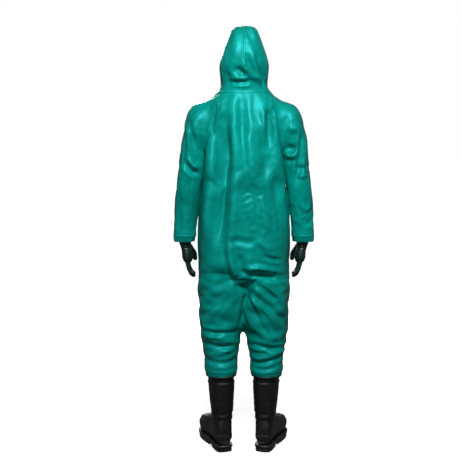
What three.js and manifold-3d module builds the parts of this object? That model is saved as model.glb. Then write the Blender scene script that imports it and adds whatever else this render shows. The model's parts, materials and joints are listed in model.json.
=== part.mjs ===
// A hooded one-piece chemical protective suit with its gloves and boots, standing as it is worn, with nobody in it.
// Millimetres, +Z up, the front faces -Y, the wearer's left is +X, and the floor is z = 0.
import * as THREE from "three";
import { mergeVertices } from "three/addons/utils/BufferGeometryUtils.js";
import Module from "manifold-3d";

const wasm = await Module();
wasm.setup();

// ---- Driving dimensions ----

// Heights above the floor.
const HOOD_TOP_Z = 1780;
const EAR_Z = 1630; // the hood nods about the line through the ears
const NECK_Z = 1500;
const SHOULDER_Z = 1372;
const CHEST_Z = 1262;
const ELBOW_Z = 1100;
const WAIST_Z = 1053;
const SLEEVE_HEM_Z = 892;
const HIP_Z = 880;
const SEAT_TOP_Z = 862; // the body panels end here and the seat begins
const CROTCH_Z = 735;
const THIGH_TOP_Z = 700; // the seat ends here and the trouser legs begin
const KNEE_Z = 505;
const LEG_HEM_Z = 330;
const BOOT_TOP_Z = 385;

// Half widths across the body.
const HOOD_HALF = 100;
const NECK_HALF = 84;
const CHEST_HALF = 156;
const WAIST_HALF = 172;
const HIP_HALF = 194;
const ARMHOLE_X = 158; // the plane in which a sleeve meets the body
const LEG_X = 96;
const THIGH_HALF = 91;
const HEM_EASE = 11; // how far a trouser hem stands off the boot shaft in it

// Depths. The front is one straight slope, so that the zip runs straight.
const FRONT_LOW_Y = -142; // the front at the hip
const FRONT_NECK_Y = -92; // the front at the neck
const BACK_Y = 148; // the furthest back, at the shoulder blades
const SIDE_SEAM_Y = 6;

// Fabric, gaps and seams.
const WALL = 2;
const GAP = 0.5; // between neighbouring pieces
const NOD_R = 126; // the hood's lower edge lies on this radius about the ear line
const JOINT_HALF_ELBOW = 70; // how far the creasing stretch reaches from the elbow
const JOINT_HALF_KNEE = 98; // and from the knee

// Sleeve: centre, half width and half depth down its length.
const BALL = { x: 172, y: 5, half: 74, deep: 88, tall: 106 };
const SLEEVE_ELBOW = { x: 228, y: 0, half: 56, deep: 62 };
const SLEEVE_HEM = { x: 250, y: -22, half: 46, deep: 52 };

// Front closure, in its own sloping frame.
const ZIP_BOTTOM_Z = 925;
const ZIP_TOP_Z = 1462;
const SLOT_HALF = 10;
const FLAP_HINGE_X = 42;
const FLAP_EDGE_X = -40;
const FLAP_WALL = 1.2;
const FLAP_SHORT = 54; // how far below the top of the zip the flap ends, so that the pull is free there
const SNAPS = 5;
const SNAP_X = -31;

// Boots.
const BOOT_LENGTH = 292;
const BOOT_BALL_HALF = 50;
const SHAFT_HALF = 54;
const SHAFT_DEEP = 63;
const ANKLE_HALF = 42;
const SOLE_HEIGHT = 30;
const BOOT_WALL = 3;
const HEEL_BACK_Y = 72;
const TOE_OUT = THREE.MathUtils.degToRad(18);

// Gloves.
const GLOVE_WALL = 1.4;
const CUFF_RING_WALL = 3;
const CUFF_RING_HEIGHT = 22;
const CUFF_RING_INSET = 14; // above the sleeve hem

const ROUND = 2.35; // the exponent of a body section: 2 is an ellipse, more is squarer
const FAR = 3000;

// ---- Materials ----

const paint = (color, roughness, metalness = 0) =>
  new THREE.MeshStandardMaterial({ color, roughness, metalness });
const green = paint(0x00958a, 0.35);
const greenInside = paint(0x4f9c8c, 0.8);
const gloveGreen = paint(0x0d4034, 0.5);
const black = paint(0x14151a, 0.5);
const steel = paint(0x9aa0a6, 0.35, 1);
const plastic = paint(0x1d6f5f, 0.45);

// ---- Solids ----

function solid(geometry) {
  const bare = geometry.index ? geometry.toNonIndexed() : geometry.clone();
  bare.deleteAttribute("normal");
  bare.deleteAttribute("uv");
  const merged = mergeVertices(bare, 1e-3);
  return new wasm.Manifold(
    new wasm.Mesh({
      numProp: 3,
      vertProperties: merged.attributes.position.array,
      triVerts: new Uint32Array(merged.index.array),
    }),
  );
}

function meshOf(name, made, material) {
  const { vertProperties, triVerts } = made.getMesh();
  const geometry = new THREE.BufferGeometry()
    .setAttribute("position", new THREE.BufferAttribute(new Float32Array(vertProperties), 3))
    .setIndex(new THREE.BufferAttribute(new Uint32Array(triVerts), 1));
  geometry.computeVertexNormals();
  const mesh = new THREE.Mesh(geometry, material);
  mesh.name = name;
  return mesh;
}

// A box between two corners.
function block(low, high) {
  const size = high.map((value, i) => value - low[i]);
  const middle = high.map((value, i) => (value + low[i]) / 2);
  return solid(new THREE.BoxGeometry(...size).translate(...middle));
}

const above = (z) => block([-FAR, -FAR, z], [FAR, FAR, FAR]);
const below = (z) => block([-FAR, -FAR, -FAR], [FAR, FAR, z]);
const between = (low, high) => block([-FAR, -FAR, low], [FAR, FAR, high]);

// A round bar along X.
function barX(radius, x0, x1, y, z, sides = 48) {
  const bar = new THREE.CylinderGeometry(radius, radius, x1 - x0, sides);
  return solid(bar.rotateZ(Math.PI / 2).translate((x0 + x1) / 2, y, z));
}

// A closed body through level rounded sections {x, y, z, half, deep}, from the lowest to the highest.
function loft(sections, { sides = 18, round = ROUND, grow = 0 } = {}) {
  const points = [];
  const faces = [];
  const power = 2 / round;
  const bend = (value) => Math.sign(value) * Math.abs(value) ** power;
  for (const s of sections)
    for (let i = 0; i < sides; i++) {
      const turn = (2 * Math.PI * i) / sides;
      points.push(
        s.x + (s.half + grow) * bend(Math.sin(turn)),
        s.y - (s.deep + grow) * bend(Math.cos(turn)),
        s.z,
      );
    }
  const first = sections[0];
  const last = sections.at(-1);
  const low = points.length / 3;
  points.push(first.x, first.y, first.z, last.x, last.y, last.z);
  for (let i = 0; i < sides; i++) {
    const next = (i + 1) % sides;
    faces.push(low, next, i);
    for (let ring = 0; ring < sections.length - 1; ring++) {
      const [a, b] = [ring * sides + i, ring * sides + next];
      faces.push(a, b, a + sides, b, b + sides, a + sides);
    }
    const top = (sections.length - 1) * sides;
    faces.push(low + 1, top + i, top + next);
  }
  return solid(
    new THREE.BufferGeometry()
      .setAttribute("position", new THREE.BufferAttribute(new Float32Array(points), 3))
      .setIndex(faces),
  );
}

const mirrored = (made, side) => (side > 0 ? made : made.mirror([1, 0, 0]));

// ---- The body of the suit: trunk, hood and trouser legs ----

const slope = (FRONT_NECK_Y - FRONT_LOW_Y) / (NECK_Z - HIP_Z);
const frontY = (z) => FRONT_LOW_Y + slope * (z - HIP_Z);

// A section from its width and the place of its front and back.
const row = (z, half, front, back) => ({
  x: 0,
  y: (front + back) / 2,
  z,
  half,
  deep: (back - front) / 2,
});

const headHigh = HOOD_TOP_Z - EAR_Z;
const yokeTall = NECK_Z - SHOULDER_Z;

const trunkRows = [
  row(CROTCH_Z, 0.35 * HIP_HALF, 0.45 * FRONT_LOW_Y, 0.5 * BACK_Y),
  row(CROTCH_Z + 25, 0.78 * HIP_HALF, 0.8 * FRONT_LOW_Y, 0.82 * BACK_Y),
  row(CROTCH_Z + 65, 0.98 * HIP_HALF, 0.94 * FRONT_LOW_Y, 0.94 * BACK_Y),
  row(HIP_Z, HIP_HALF, frontY(HIP_Z), 0.97 * BACK_Y),
  row(WAIST_Z, WAIST_HALF, frontY(WAIST_Z), 0.95 * BACK_Y),
  row(CHEST_Z, CHEST_HALF, frontY(CHEST_Z), BACK_Y),
  row(SHOULDER_Z, CHEST_HALF, frontY(SHOULDER_Z), 0.95 * BACK_Y),
  row(NECK_Z - 0.4 * yokeTall, CHEST_HALF, frontY(NECK_Z - 0.4 * yokeTall), 0.86 * BACK_Y),
  row(NECK_Z - 0.17 * yokeTall, 0.97 * CHEST_HALF, frontY(NECK_Z - 0.17 * yokeTall), 0.77 * BACK_Y),
  row(NECK_Z, 1.36 * NECK_HALF, FRONT_NECK_Y, 0.68 * BACK_Y),
  row(NECK_Z + 16, 1.02 * NECK_HALF, FRONT_NECK_Y - 2, 0.64 * BACK_Y),
  row(NECK_Z + 36, 1.02 * NECK_HALF, FRONT_NECK_Y - 4, 0.66 * BACK_Y),
  row(NECK_Z + 76, 0.96 * HOOD_HALF, FRONT_NECK_Y - 10, 0.75 * BACK_Y),
  row(EAR_Z, HOOD_HALF, FRONT_NECK_Y - 14, 0.8 * BACK_Y),
  row(EAR_Z + 0.3 * headHigh, 0.93 * HOOD_HALF, FRONT_NECK_Y - 14, 0.79 * BACK_Y),
  row(EAR_Z + 0.55 * headHigh, 0.81 * HOOD_HALF, FRONT_NECK_Y - 6, 0.71 * BACK_Y),
  row(EAR_Z + 0.78 * headHigh, 0.65 * HOOD_HALF, 0.82 * FRONT_NECK_Y, 0.56 * BACK_Y),
  row(EAR_Z + 0.93 * headHigh, 0.44 * HOOD_HALF, 0.5 * FRONT_NECK_Y, 0.34 * BACK_Y),
  row(HOOD_TOP_Z, 0.14 * HOOD_HALF, 0.15 * FRONT_NECK_Y, 0.1 * BACK_Y),
];

const legRows = [
  [CROTCH_Z + 70, 1.0, 100, 6],
  [THIGH_TOP_Z, 1.0, 104, 8],
  [KNEE_Z + JOINT_HALF_KNEE, 0.97, 98, 6],
  [KNEE_Z, 0.93, 92, 4],
  [KNEE_Z - JOINT_HALF_KNEE, 0.84, 82, 8],
  [LEG_HEM_Z, (SHAFT_HALF + HEM_EASE) / THIGH_HALF, SHAFT_DEEP + HEM_EASE, 12],
]
  .map(([z, share, deep, y]) => ({ x: LEG_X, y, z, half: share * THIGH_HALF, deep }))
  .reverse();

const ballRows = [-1, -0.85, -0.5, 0, 0.5, 0.85, 1].map((share) => {
  const wide = Math.sqrt(Math.max(0.015, 1 - share * share));
  return {
    x: BALL.x,
    y: BALL.y,
    z: SHOULDER_Z + share * BALL.tall,
    half: BALL.half * wide,
    deep: BALL.deep * wide,
  };
});

// Moves each end of a row list along z, for the inside of a shell that is open there or closed there.
function ends(rows, lowBy, highBy) {
  const moved = rows.map((r) => ({ ...r }));
  moved[0].z += lowBy;
  moved.at(-1).z += highBy;
  return moved;
}

const roundBall = { sides: 18, round: 2 };
const trunk = (grow) => loft(ends(trunkRows, -grow, grow), { sides: 24, grow });
const leg = (side, grow) => mirrored(loft(ends(legRows, grow < 0 ? -1 : 0, grow), { grow }), side);
const ball = (side, grow) => mirrored(loft(ends(ballRows, -grow, grow), { ...roundBall, grow }), side);
const inboard = (x) => block([-x, -FAR, -FAR], [x, FAR, FAR]);

const bodySolid = (grow, armholeX) =>
  trunk(grow)
    .add(leg(1, grow))
    .add(leg(-1, grow))
    .add(ball(1, grow).intersect(inboard(armholeX)))
    .add(ball(-1, grow).intersect(inboard(armholeX)));

const bodyShell = bodySolid(0, ARMHOLE_X - GAP / 2).subtract(bodySolid(-WALL, ARMHOLE_X + 1));

// The hood is what lies inside the nod radius or above the ears.
const hoodSpace = (r) => barX(r, -FAR, FAR, 0, EAR_Z).add(above(EAR_Z));
const hoodShell = bodyShell.intersect(hoodSpace(NOD_R));
const trunkShell = bodyShell
  .subtract(barX(NOD_R + GAP, -FAR, FAR, 0, EAR_Z))
  .intersect(between(SEAT_TOP_Z + GAP, EAR_Z - NOD_R / 2));

const behindSeam = block([-FAR, SIDE_SEAM_Y + GAP / 2, -FAR], [FAR, FAR, FAR]);
const beforeSeam = block([-FAR, -FAR, -FAR], [FAR, SIDE_SEAM_Y - GAP / 2, FAR]);
const leftOf = (x) => block([x, -FAR, -FAR], [FAR, FAR, FAR]);
const rightOf = (x) => block([-FAR, -FAR, -FAR], [x, FAR, FAR]);

const backPanel = trunkShell.intersect(behindSeam);
const frontHalf = trunkShell.intersect(beforeSeam);
const zipSlot = block([-SLOT_HALF, -FAR, ZIP_BOTTOM_Z - 6], [SLOT_HALF, 0, ZIP_TOP_Z + 4]);
const frontSplit = frontHalf.subtract(zipSlot).subtract(inboard(GAP / 2));
const seatShell = bodyShell.intersect(between(THIGH_TOP_Z + GAP, SEAT_TOP_Z));

// ---- Hood ----

const FACE = { z: 1622, half: 63, tall: 78, lip: 17 };

// An oval bar along Y that cuts the face opening.
function faceCut(inset) {
  const oval = new THREE.CylinderGeometry(1, 1, 200, 28);
  oval.scale(FACE.half - inset, 1, FACE.tall - inset);
  return solid(oval.translate(0, -120, FACE.z));
}

const hoodCloth = hoodShell.subtract(faceCut(0));
const hoodLeft = hoodCloth.intersect(leftOf(GAP / 2));
const hoodRight = hoodCloth.intersect(rightOf(-GAP / 2));
const faceSeal = hoodShell.intersect(faceCut(GAP)).subtract(faceCut(FACE.lip));
const SEAM_TAPE_HALF = 11;
const SEAM_TAPE_WALL = 1;
const seamTape = trunk(-WALL - 0.3)
  .subtract(trunk(-WALL - 0.3 - SEAM_TAPE_WALL))
  .intersect(hoodSpace(NOD_R))
  .intersect(block([-SEAM_TAPE_HALF, 0, -FAR], [SEAM_TAPE_HALF, FAR, FAR]));

// ---- Sleeves and gloves ----

const mix = (a, b, t) => a + (b - a) * t;
const sleeveAt = (from, to, t, z) => ({
  x: mix(from.x, to.x, t),
  y: mix(from.y, to.y, t),
  z,
  half: mix(from.half, to.half, t),
  deep: mix(from.deep, to.deep, t),
});
const sleeveTop = { x: 205, y: 6, half: 48, deep: 74 };
const upperBicep = { x: 213, y: 6, half: 52.5, deep: 68 };
const sleeveRows = [
  sleeveAt(SLEEVE_HEM, SLEEVE_HEM, 0, SLEEVE_HEM_Z),
  sleeveAt(SLEEVE_ELBOW, SLEEVE_HEM, 0.55, ELBOW_Z - JOINT_HALF_ELBOW),
  sleeveAt(SLEEVE_ELBOW, SLEEVE_ELBOW, 0, ELBOW_Z),
  sleeveAt(SLEEVE_ELBOW, upperBicep, 0.5, ELBOW_Z + JOINT_HALF_ELBOW),
  sleeveAt(upperBicep, upperBicep, 0, CHEST_Z),
  sleeveAt(sleeveTop, sleeveTop, 0, SHOULDER_Z - 0.35 * BALL.tall),
  sleeveAt(sleeveTop, BALL, 0.6, SHOULDER_Z),
];
const sleeveTube = (grow) => loft(ends(sleeveRows, grow < 0 ? -1 : 0, 0), { sides: 16, round: 2.1, grow });
const armOuter = ball(1, 0).add(sleeveTube(0)).intersect(leftOf(ARMHOLE_X + GAP / 2));
const armInner = ball(1, -WALL).add(sleeveTube(-WALL)).intersect(leftOf(ARMHOLE_X - 5));
const armShell = armOuter.subtract(armInner);
const elbowTop = ELBOW_Z + JOINT_HALF_ELBOW;
const elbowLow = ELBOW_Z - JOINT_HALF_ELBOW;

// A ring that follows the sleeve's inside, inset by a distance, between two heights above the hem.
const cuffBand = (inset, wall, low, high) =>
  sleeveTube(-inset)
    .subtract(sleeveTube(-inset - wall))
    .intersect(between(SLEEVE_HEM_Z + low, SLEEVE_HEM_Z + high));

const ringLow = CUFF_RING_INSET;
const ringHigh = CUFF_RING_INSET + CUFF_RING_HEIGHT;
const outerRingInset = WALL + 0.8;
const gloveInset = outerRingInset + CUFF_RING_WALL + 0.5;
const innerRingInset = gloveInset + GLOVE_WALL + 0.5;

// The hand: a palm and five bent fingers. grow is negative for the inside.
const WRIST = { x: 248, y: -24 };
const FINGERS = [
  // knuckle across and forward from the palm's middle, then how far the finger runs down and forward
  { across: 27, from: -2, down: 60, curl: 34, thick: 10.5 },
  { across: 9, from: -3, down: 68, curl: 36, thick: 10.8 },
  { across: -9, from: -2, down: 64, curl: 38, thick: 10.5 },
  { across: -26, from: 1, down: 50, curl: 34, thick: 9.5 },
];
const PALM = { x: 238, y: -34, half: 24, deep: 44, low: 806 };
const THUMB = { down: 62, in: 26, thick: 12 };

// A bent tube through points, closed at both ends.
function tube(points, radius) {
  const path = new THREE.CatmullRomCurve3(points.map((p) => new THREE.Vector3(...p)));
  const circle = new THREE.Shape().absarc(0, 0, radius, 0, 2 * Math.PI);
  return solid(
    new THREE.ExtrudeGeometry(circle, { extrudePath: path, steps: 3, curveSegments: 4, bevelEnabled: false }),
  );
}

function hand(grow) {
  const nearElbow = sleeveRows[1];
  const inSleeve = (height) => {
    const z = SLEEVE_HEM_Z + height;
    const there = sleeveAt(SLEEVE_HEM, nearElbow, height / (nearElbow.z - SLEEVE_HEM_Z), z);
    return { ...there, half: there.half - gloveInset, deep: there.deep - gloveInset };
  };
  const rows = [
    { ...PALM, z: PALM.low - grow, half: 0.62 * PALM.half, deep: 0.95 * PALM.deep },
    { ...PALM, z: PALM.low + 26 },
    { x: WRIST.x, y: WRIST.y, z: SLEEVE_HEM_Z - 16, half: 25, deep: 30 },
    inSleeve(ringLow - 6),
    inSleeve(ringHigh + 4),
  ];
  let made = loft(ends(rows, 0, grow < 0 ? 1 : 0), { sides: 16, round: 2.1, grow });
  for (const f of FINGERS) {
    const y = PALM.y - f.across;
    const x = PALM.x - f.from;
    const points = [
      [x, y, PALM.low + 22],
      [x - 3, y, PALM.low - 0.3 * f.down],
      [x - 0.75 * f.curl, y, PALM.low - f.down - grow],
    ];
    made = made.add(tube(points, f.thick + grow));
  }
  const thumb = [
    [PALM.x - 4, PALM.y - 18, PALM.low + 66],
    [PALM.x - THUMB.in, PALM.y - 42, PALM.low + 34],
    [PALM.x - THUMB.in - 4, PALM.y - 48, PALM.low + 66 - THUMB.down - grow],
  ];
  return made.add(tube(thumb, THUMB.thick + grow));
}

const glove = hand(0).subtract(hand(-GLOVE_WALL));

// ---- Boots ----

// A foot-shaped outline in plan: heel at the origin, toe towards -Y.
function footShape(grow) {
  const h = BOOT_BALL_HALF + grow;
  const back = grow;
  const toe = -BOOT_LENGTH - grow;
  return new THREE.Shape()
    .moveTo(0, back)
    .bezierCurveTo(0.62 * h, back, 0.78 * h, -14, 0.76 * h, -62)
    .bezierCurveTo(0.72 * h, -120, h, -150, h, -200)
    .bezierCurveTo(h, -262, 0.62 * h, toe, 0.1 * h, toe)
    .bezierCurveTo(-0.55 * h, toe, -0.86 * h, -258, -0.88 * h, -204)
    .bezierCurveTo(-0.88 * h, -150, -0.62 * h, -120, -0.7 * h, -62)
    .bezierCurveTo(-0.78 * h, -14, -0.6 * h, back, 0, back);
}

function slab(grow, low, high) {
  const made = new THREE.ExtrudeGeometry(footShape(grow), {
    depth: high - low,
    bevelEnabled: false,
    curveSegments: 5,
  });
  return solid(made.translate(0, 0, low));
}

// The foot's body: sections standing across it, from the heel to the toe, each {s, half, low, high}.
function footBody(grow) {
  const floor = SOLE_HEIGHT + GAP;
  const rows = [
    [4, 0.5, 92],
    [24, 0.76, 118],
    [72, 0.76, 124],
    [120, 0.78, 108],
    [170, 0.92, 88],
    [220, 0.95, 76],
    [262, 0.78, 66],
    [286, 0.4, 50],
  ].map(([s, share, high]) => ({
    x: 0.03 * BOOT_BALL_HALF,
    y: (floor - grow + high + floor + grow) / 2 - floor,
    z: s,
    half: share * BOOT_BALL_HALF,
    deep: high / 2,
  }));
  const made = loft(ends(rows, -grow, grow), { sides: 16, round: 2.6, grow });
  const upright = made.rotate([90, 0, 0]).translate([0, 0, floor]);
  return upright.intersect(above(floor - Math.min(grow, 0)));
}

const shaftY = HEEL_BACK_Y - SHAFT_DEEP - 4;
const shaftRows = [
  { x: 0, y: 26, z: SOLE_HEIGHT + 60, half: ANKLE_HALF - 3, deep: 38 },
  { x: 0, y: 20, z: 130, half: ANKLE_HALF, deep: 44 },
  { x: 0, y: 13, z: 200, half: 0.92 * SHAFT_HALF, deep: 0.86 * SHAFT_DEEP },
  { x: 0, y: shaftY + 4, z: 280, half: SHAFT_HALF, deep: 0.96 * SHAFT_DEEP },
  { x: 0, y: shaftY, z: LEG_HEM_Z - 10, half: SHAFT_HALF, deep: SHAFT_DEEP },
  { x: 0, y: shaftY, z: BOOT_TOP_Z, half: SHAFT_HALF, deep: SHAFT_DEEP },
];
const placeBoot = (made) => made.translate([0, HEEL_BACK_Y, 0]);
const bootSolid = (grow) =>
  placeBoot(footBody(grow)).add(loft(ends(shaftRows, 0, grow < 0 ? 1 : 0), { sides: 16, round: 2.1, grow }));
const bootUpper = bootSolid(0).subtract(bootSolid(-BOOT_WALL));

// Outsole: heel and tread blocks under a welt, with a recess for the steel plate.
const PLATE_INSET = 12;
const PLATE_WALL = 1.4;
const TREAD_DEPTH = 5;
const TREAD_STEP = 22;

function outsole() {
  let made = slab(-1, 0, SOLE_HEIGHT - 8).add(slab(3, SOLE_HEIGHT - 8, SOLE_HEIGHT));
  made = made.subtract(slab(-PLATE_INSET, SOLE_HEIGHT - PLATE_WALL - 0.8, SOLE_HEIGHT + 1));
  made = made.subtract(block([-FAR, -118, -1], [FAR, -84, 12])); // the arch, behind the heel breast
  for (let s = 140; s < BOOT_LENGTH - 20; s += TREAD_STEP)
    made = made.subtract(block([-FAR, -s - 6, -1], [FAR, -s, TREAD_DEPTH]));
  made = made.subtract(block([-FAR, -58, -1], [FAR, -52, TREAD_DEPTH]));
  return placeBoot(made);
}

const plate = placeBoot(slab(-PLATE_INSET - 0.5, SOLE_HEIGHT - PLATE_WALL - 0.4, SOLE_HEIGHT - 0.4));
const insole = placeBoot(slab(-10, SOLE_HEIGHT + BOOT_WALL + 1, SOLE_HEIGHT + BOOT_WALL + 6))
  .intersect(placeBoot(footBody(-BOOT_WALL - 0.5)));
const CAP_BACK = 222; // how far from the heel the toe cap begins
const toeCap = placeBoot(
  footBody(-BOOT_WALL - 0.5)
    .subtract(footBody(-BOOT_WALL - 2.3))
    .intersect(block([-FAR, -FAR, SOLE_HEIGHT + BOOT_WALL + 7], [FAR, -CAP_BACK, FAR])),
);

// The rubber ring that seals the trouser hem on the boot shaft.
const SEAL_LOW = LEG_HEM_Z + 6;
const SEAL_HIGH = LEG_HEM_Z + 30;
const turned = (made) =>
  made
    .translate([0, -shaftY, 0])
    .rotate([0, 0, THREE.MathUtils.radToDeg(TOE_OUT)])
    .translate([LEG_X, shaftY, 0]);
const shaftInSeal = loft(
  [SEAL_LOW - 1, SEAL_HIGH + 1].map((z) => ({ ...shaftRows.at(-1), z })),
  { sides: 16, round: 2.1, grow: 0.5 },
);
const bootSeal = leg(1, -WALL - 0.6)
  .intersect(between(SEAL_LOW, SEAL_HIGH))
  .subtract(turned(shaftInSeal));

// ---- Front closure, in a frame that slopes with the front ----

const slopeTurn = Math.atan(slope);
const run = (ZIP_TOP_Z - ZIP_BOTTOM_Z) / Math.cos(slopeTurn);
const TAPE_Y = WALL + 2.6;
const RAIL_HALF_GAP = 1.5;

const zipTape = (side) =>
  mirrored(
    block([RAIL_HALF_GAP + 1.5, TAPE_Y, 0], [24, TAPE_Y + 1, run]).add(
      block([RAIL_HALF_GAP, 0.6, 0], [5.5, TAPE_Y + 1, run]),
    ),
    side,
  );
const backing = block([-28, TAPE_Y + 3.4, 0], [26, TAPE_Y + 4.6, run]);
const backingEdge = block([26, TAPE_Y + 1.5, 0], [28, TAPE_Y + 4.6, run]);
const bottomStop = block([-5.5, -1, -5], [5.5, 0.2, 4]);

// Slider: two plates round the rails, a post between them, and two ears with a pin for the pull.
const PIN = { y: -5.1, r: 0.9 };
const SLIDER = { half: 7, long: 22, top: run - 4 };
const sliderMiddle = SLIDER.top - SLIDER.long / 2;

function zipSlider() {
  const low = SLIDER.top - SLIDER.long;
  const ear = (x0, x1) => block([x0, PIN.y - 1.2, sliderMiddle - 2], [x1, -1.8, sliderMiddle + 2]);
  return block([-SLIDER.half, -2, low], [SLIDER.half, 0.2, SLIDER.top])
    .add(block([-SLIDER.half, TAPE_Y + 1.4, low], [SLIDER.half, TAPE_Y + 2.9, SLIDER.top]))
    .add(block([-1.1, 0, SLIDER.top - 8], [1.1, TAPE_Y + 2, SLIDER.top - 1]))
    .add(ear(2.6, 3.8))
    .add(ear(-3.8, -2.6))
    .add(barX(PIN.r, -3, 3, PIN.y, sliderMiddle, 10));
}

const PULL = { neck: 2.2, half: 4.5, long: 34, wall: 1.6 };

function zipPull() {
  const y0 = PIN.y - PULL.wall / 2;
  const y1 = PIN.y + PULL.wall / 2;
  return barX(PIN.r + 1.45, -PULL.neck, PULL.neck, PIN.y, sliderMiddle, 16)
    .add(block([-PULL.neck, y0, sliderMiddle - 6], [PULL.neck, y1, sliderMiddle]))
    .add(block([-PULL.half, y0, sliderMiddle - PULL.long], [PULL.half, y1, sliderMiddle - 4.4]))
    .subtract(block([-2.2, y0 - 1, sliderMiddle - PULL.long + 4], [2.2, y1 + 1, sliderMiddle - 13]))
    .subtract(barX(PIN.r + 0.35, -5, 5, PIN.y, sliderMiddle, 12));
}

// Storm flap: a strip that arches over the slider, hinged on its sewn edge.
function stormFlap() {
  const line = [
    [FLAP_HINGE_X, 0.2],
    [FLAP_HINGE_X - 10, -3],
    [15, -9.6],
    [-15, -9.6],
    [-23, -5.2],
    [FLAP_EDGE_X, -5.2],
  ];
  const shape = new THREE.Shape(
    [...line, ...line.toReversed().map(([x, y]) => [x, y + FLAP_WALL])].map(([x, y]) => new THREE.Vector2(x, y)),
  );
  return solid(new THREE.ExtrudeGeometry(shape, { depth: run - FLAP_SHORT, bevelEnabled: false }));
}

// A round button along Y.
function button(radius, y0, y1, z) {
  const made = new THREE.CylinderGeometry(radius, radius, y1 - y0, 14);
  return solid(made.translate(SNAP_X, (y0 + y1) / 2, z));
}

const snapZ = (i) => 20 + (i * (run - FLAP_SHORT - 40)) / (SNAPS - 1);

// ---- The assembly ----

const suit = new THREE.Group();
const add = (name, made, material) => suit.add(meshOf(name, made, material));

add("back_panel", backPanel, green);
add("front_left_panel", frontSplit.intersect(leftOf(0)), green);
add("front_right_panel", frontSplit.intersect(rightOf(0)), green);
add("seat_back", seatShell.intersect(behindSeam), green);
add("seat_front", seatShell.intersect(beforeSeam), green);
add("hood_left", hoodLeft, green);
add("hood_right", hoodRight, green);
add("hood_seam_tape", seamTape, greenInside);
add("face_seal", faceSeal, black);

for (const [name, side] of [
  ["left", 1],
  ["right", -1],
]) {
  const put = (piece, made, material) => add(`${piece}_${name}`, mirrored(made, side), material);
  put("sleeve_upper", armShell.intersect(above(elbowTop + GAP / 2)), green);
  put("sleeve_elbow", armShell.intersect(between(elbowLow + GAP / 2, elbowTop - GAP / 2)), green);
  put("sleeve_lower", armShell.intersect(below(elbowLow - GAP / 2)), green);
  put("outer_cuff_ring", cuffBand(outerRingInset, CUFF_RING_WALL, ringLow, ringHigh), plastic);
  put("inner_cuff_ring", cuffBand(innerRingInset, CUFF_RING_WALL, ringLow, ringHigh), plastic);
  put("glove", glove, gloveGreen);

  const legShell = bodyShell.intersect(leftOf(0)).intersect(below(THIGH_TOP_Z));
  const kneeTop = KNEE_Z + JOINT_HALF_KNEE;
  const kneeLow = KNEE_Z - JOINT_HALF_KNEE;
  put("trouser_thigh", legShell.intersect(above(kneeTop + GAP / 2)), green);
  put("trouser_knee", legShell.intersect(between(kneeLow + GAP / 2, kneeTop - GAP / 2)), green);
  put("trouser_shin", legShell.intersect(below(kneeLow - GAP / 2)), green);
  put("boot_seal_ring", bootSeal, black);

  put("boot_upper", turned(bootUpper), black);
  put("boot_outsole", turned(outsole()), black);
  put("boot_midsole_plate", turned(plate), steel);
  put("boot_insole", turned(insole), greenInside);
  put("boot_toe_cap", turned(toeCap), steel);
}

const closure = new THREE.Group();
closure.position.set(0, frontY(ZIP_BOTTOM_Z), ZIP_BOTTOM_Z);
closure.rotation.x = -slopeTurn;
suit.add(closure);
const addFront = (name, made, material) => closure.add(meshOf(name, made, material));

addFront("zip_tape_left", zipTape(1), black);
addFront("zip_tape_right", zipTape(-1), black);
addFront("zip_backing", backing.add(backingEdge), greenInside);
addFront("zip_bottom_stop", bottomStop, steel);
addFront("zip_slider", zipSlider(), steel);
addFront("zip_pull", zipPull(), steel);
addFront("storm_flap", stormFlap(), green);
for (let i = 0; i < SNAPS; i++) {
  addFront(`snap_stud_${i + 1}`, button(5, -3.4, 0.85, snapZ(i)), steel);
  addFront(`snap_cap_${i + 1}`, button(7.5, -8.4, -5.6, snapZ(i)), steel);
}

export default suit;
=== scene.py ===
import json
import math

import bmesh
import bpy
import numpy as np
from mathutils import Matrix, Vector, noise
from mathutils.bvhtree import BVHTree
from mathutils.interpolate import poly_3d_calc


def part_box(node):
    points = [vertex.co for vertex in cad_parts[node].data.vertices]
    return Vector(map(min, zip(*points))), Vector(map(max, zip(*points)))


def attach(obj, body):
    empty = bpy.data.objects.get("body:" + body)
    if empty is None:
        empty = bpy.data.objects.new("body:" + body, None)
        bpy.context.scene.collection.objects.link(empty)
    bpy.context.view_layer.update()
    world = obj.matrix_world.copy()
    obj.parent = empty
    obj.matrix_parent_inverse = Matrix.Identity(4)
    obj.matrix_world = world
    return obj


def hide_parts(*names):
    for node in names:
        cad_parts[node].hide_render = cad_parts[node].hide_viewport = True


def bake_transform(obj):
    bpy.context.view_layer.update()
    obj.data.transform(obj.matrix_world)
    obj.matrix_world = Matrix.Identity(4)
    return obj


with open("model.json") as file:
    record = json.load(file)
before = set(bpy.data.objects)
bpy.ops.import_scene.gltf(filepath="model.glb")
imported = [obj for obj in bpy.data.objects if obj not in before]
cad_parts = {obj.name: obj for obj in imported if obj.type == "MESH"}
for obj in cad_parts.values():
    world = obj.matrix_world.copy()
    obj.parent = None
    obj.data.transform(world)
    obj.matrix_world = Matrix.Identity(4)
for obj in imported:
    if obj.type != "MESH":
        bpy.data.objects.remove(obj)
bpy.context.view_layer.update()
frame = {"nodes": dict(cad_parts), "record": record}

SCENE = bpy.context.scene
SIDES = {"left": 1, "right": -1}

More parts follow.
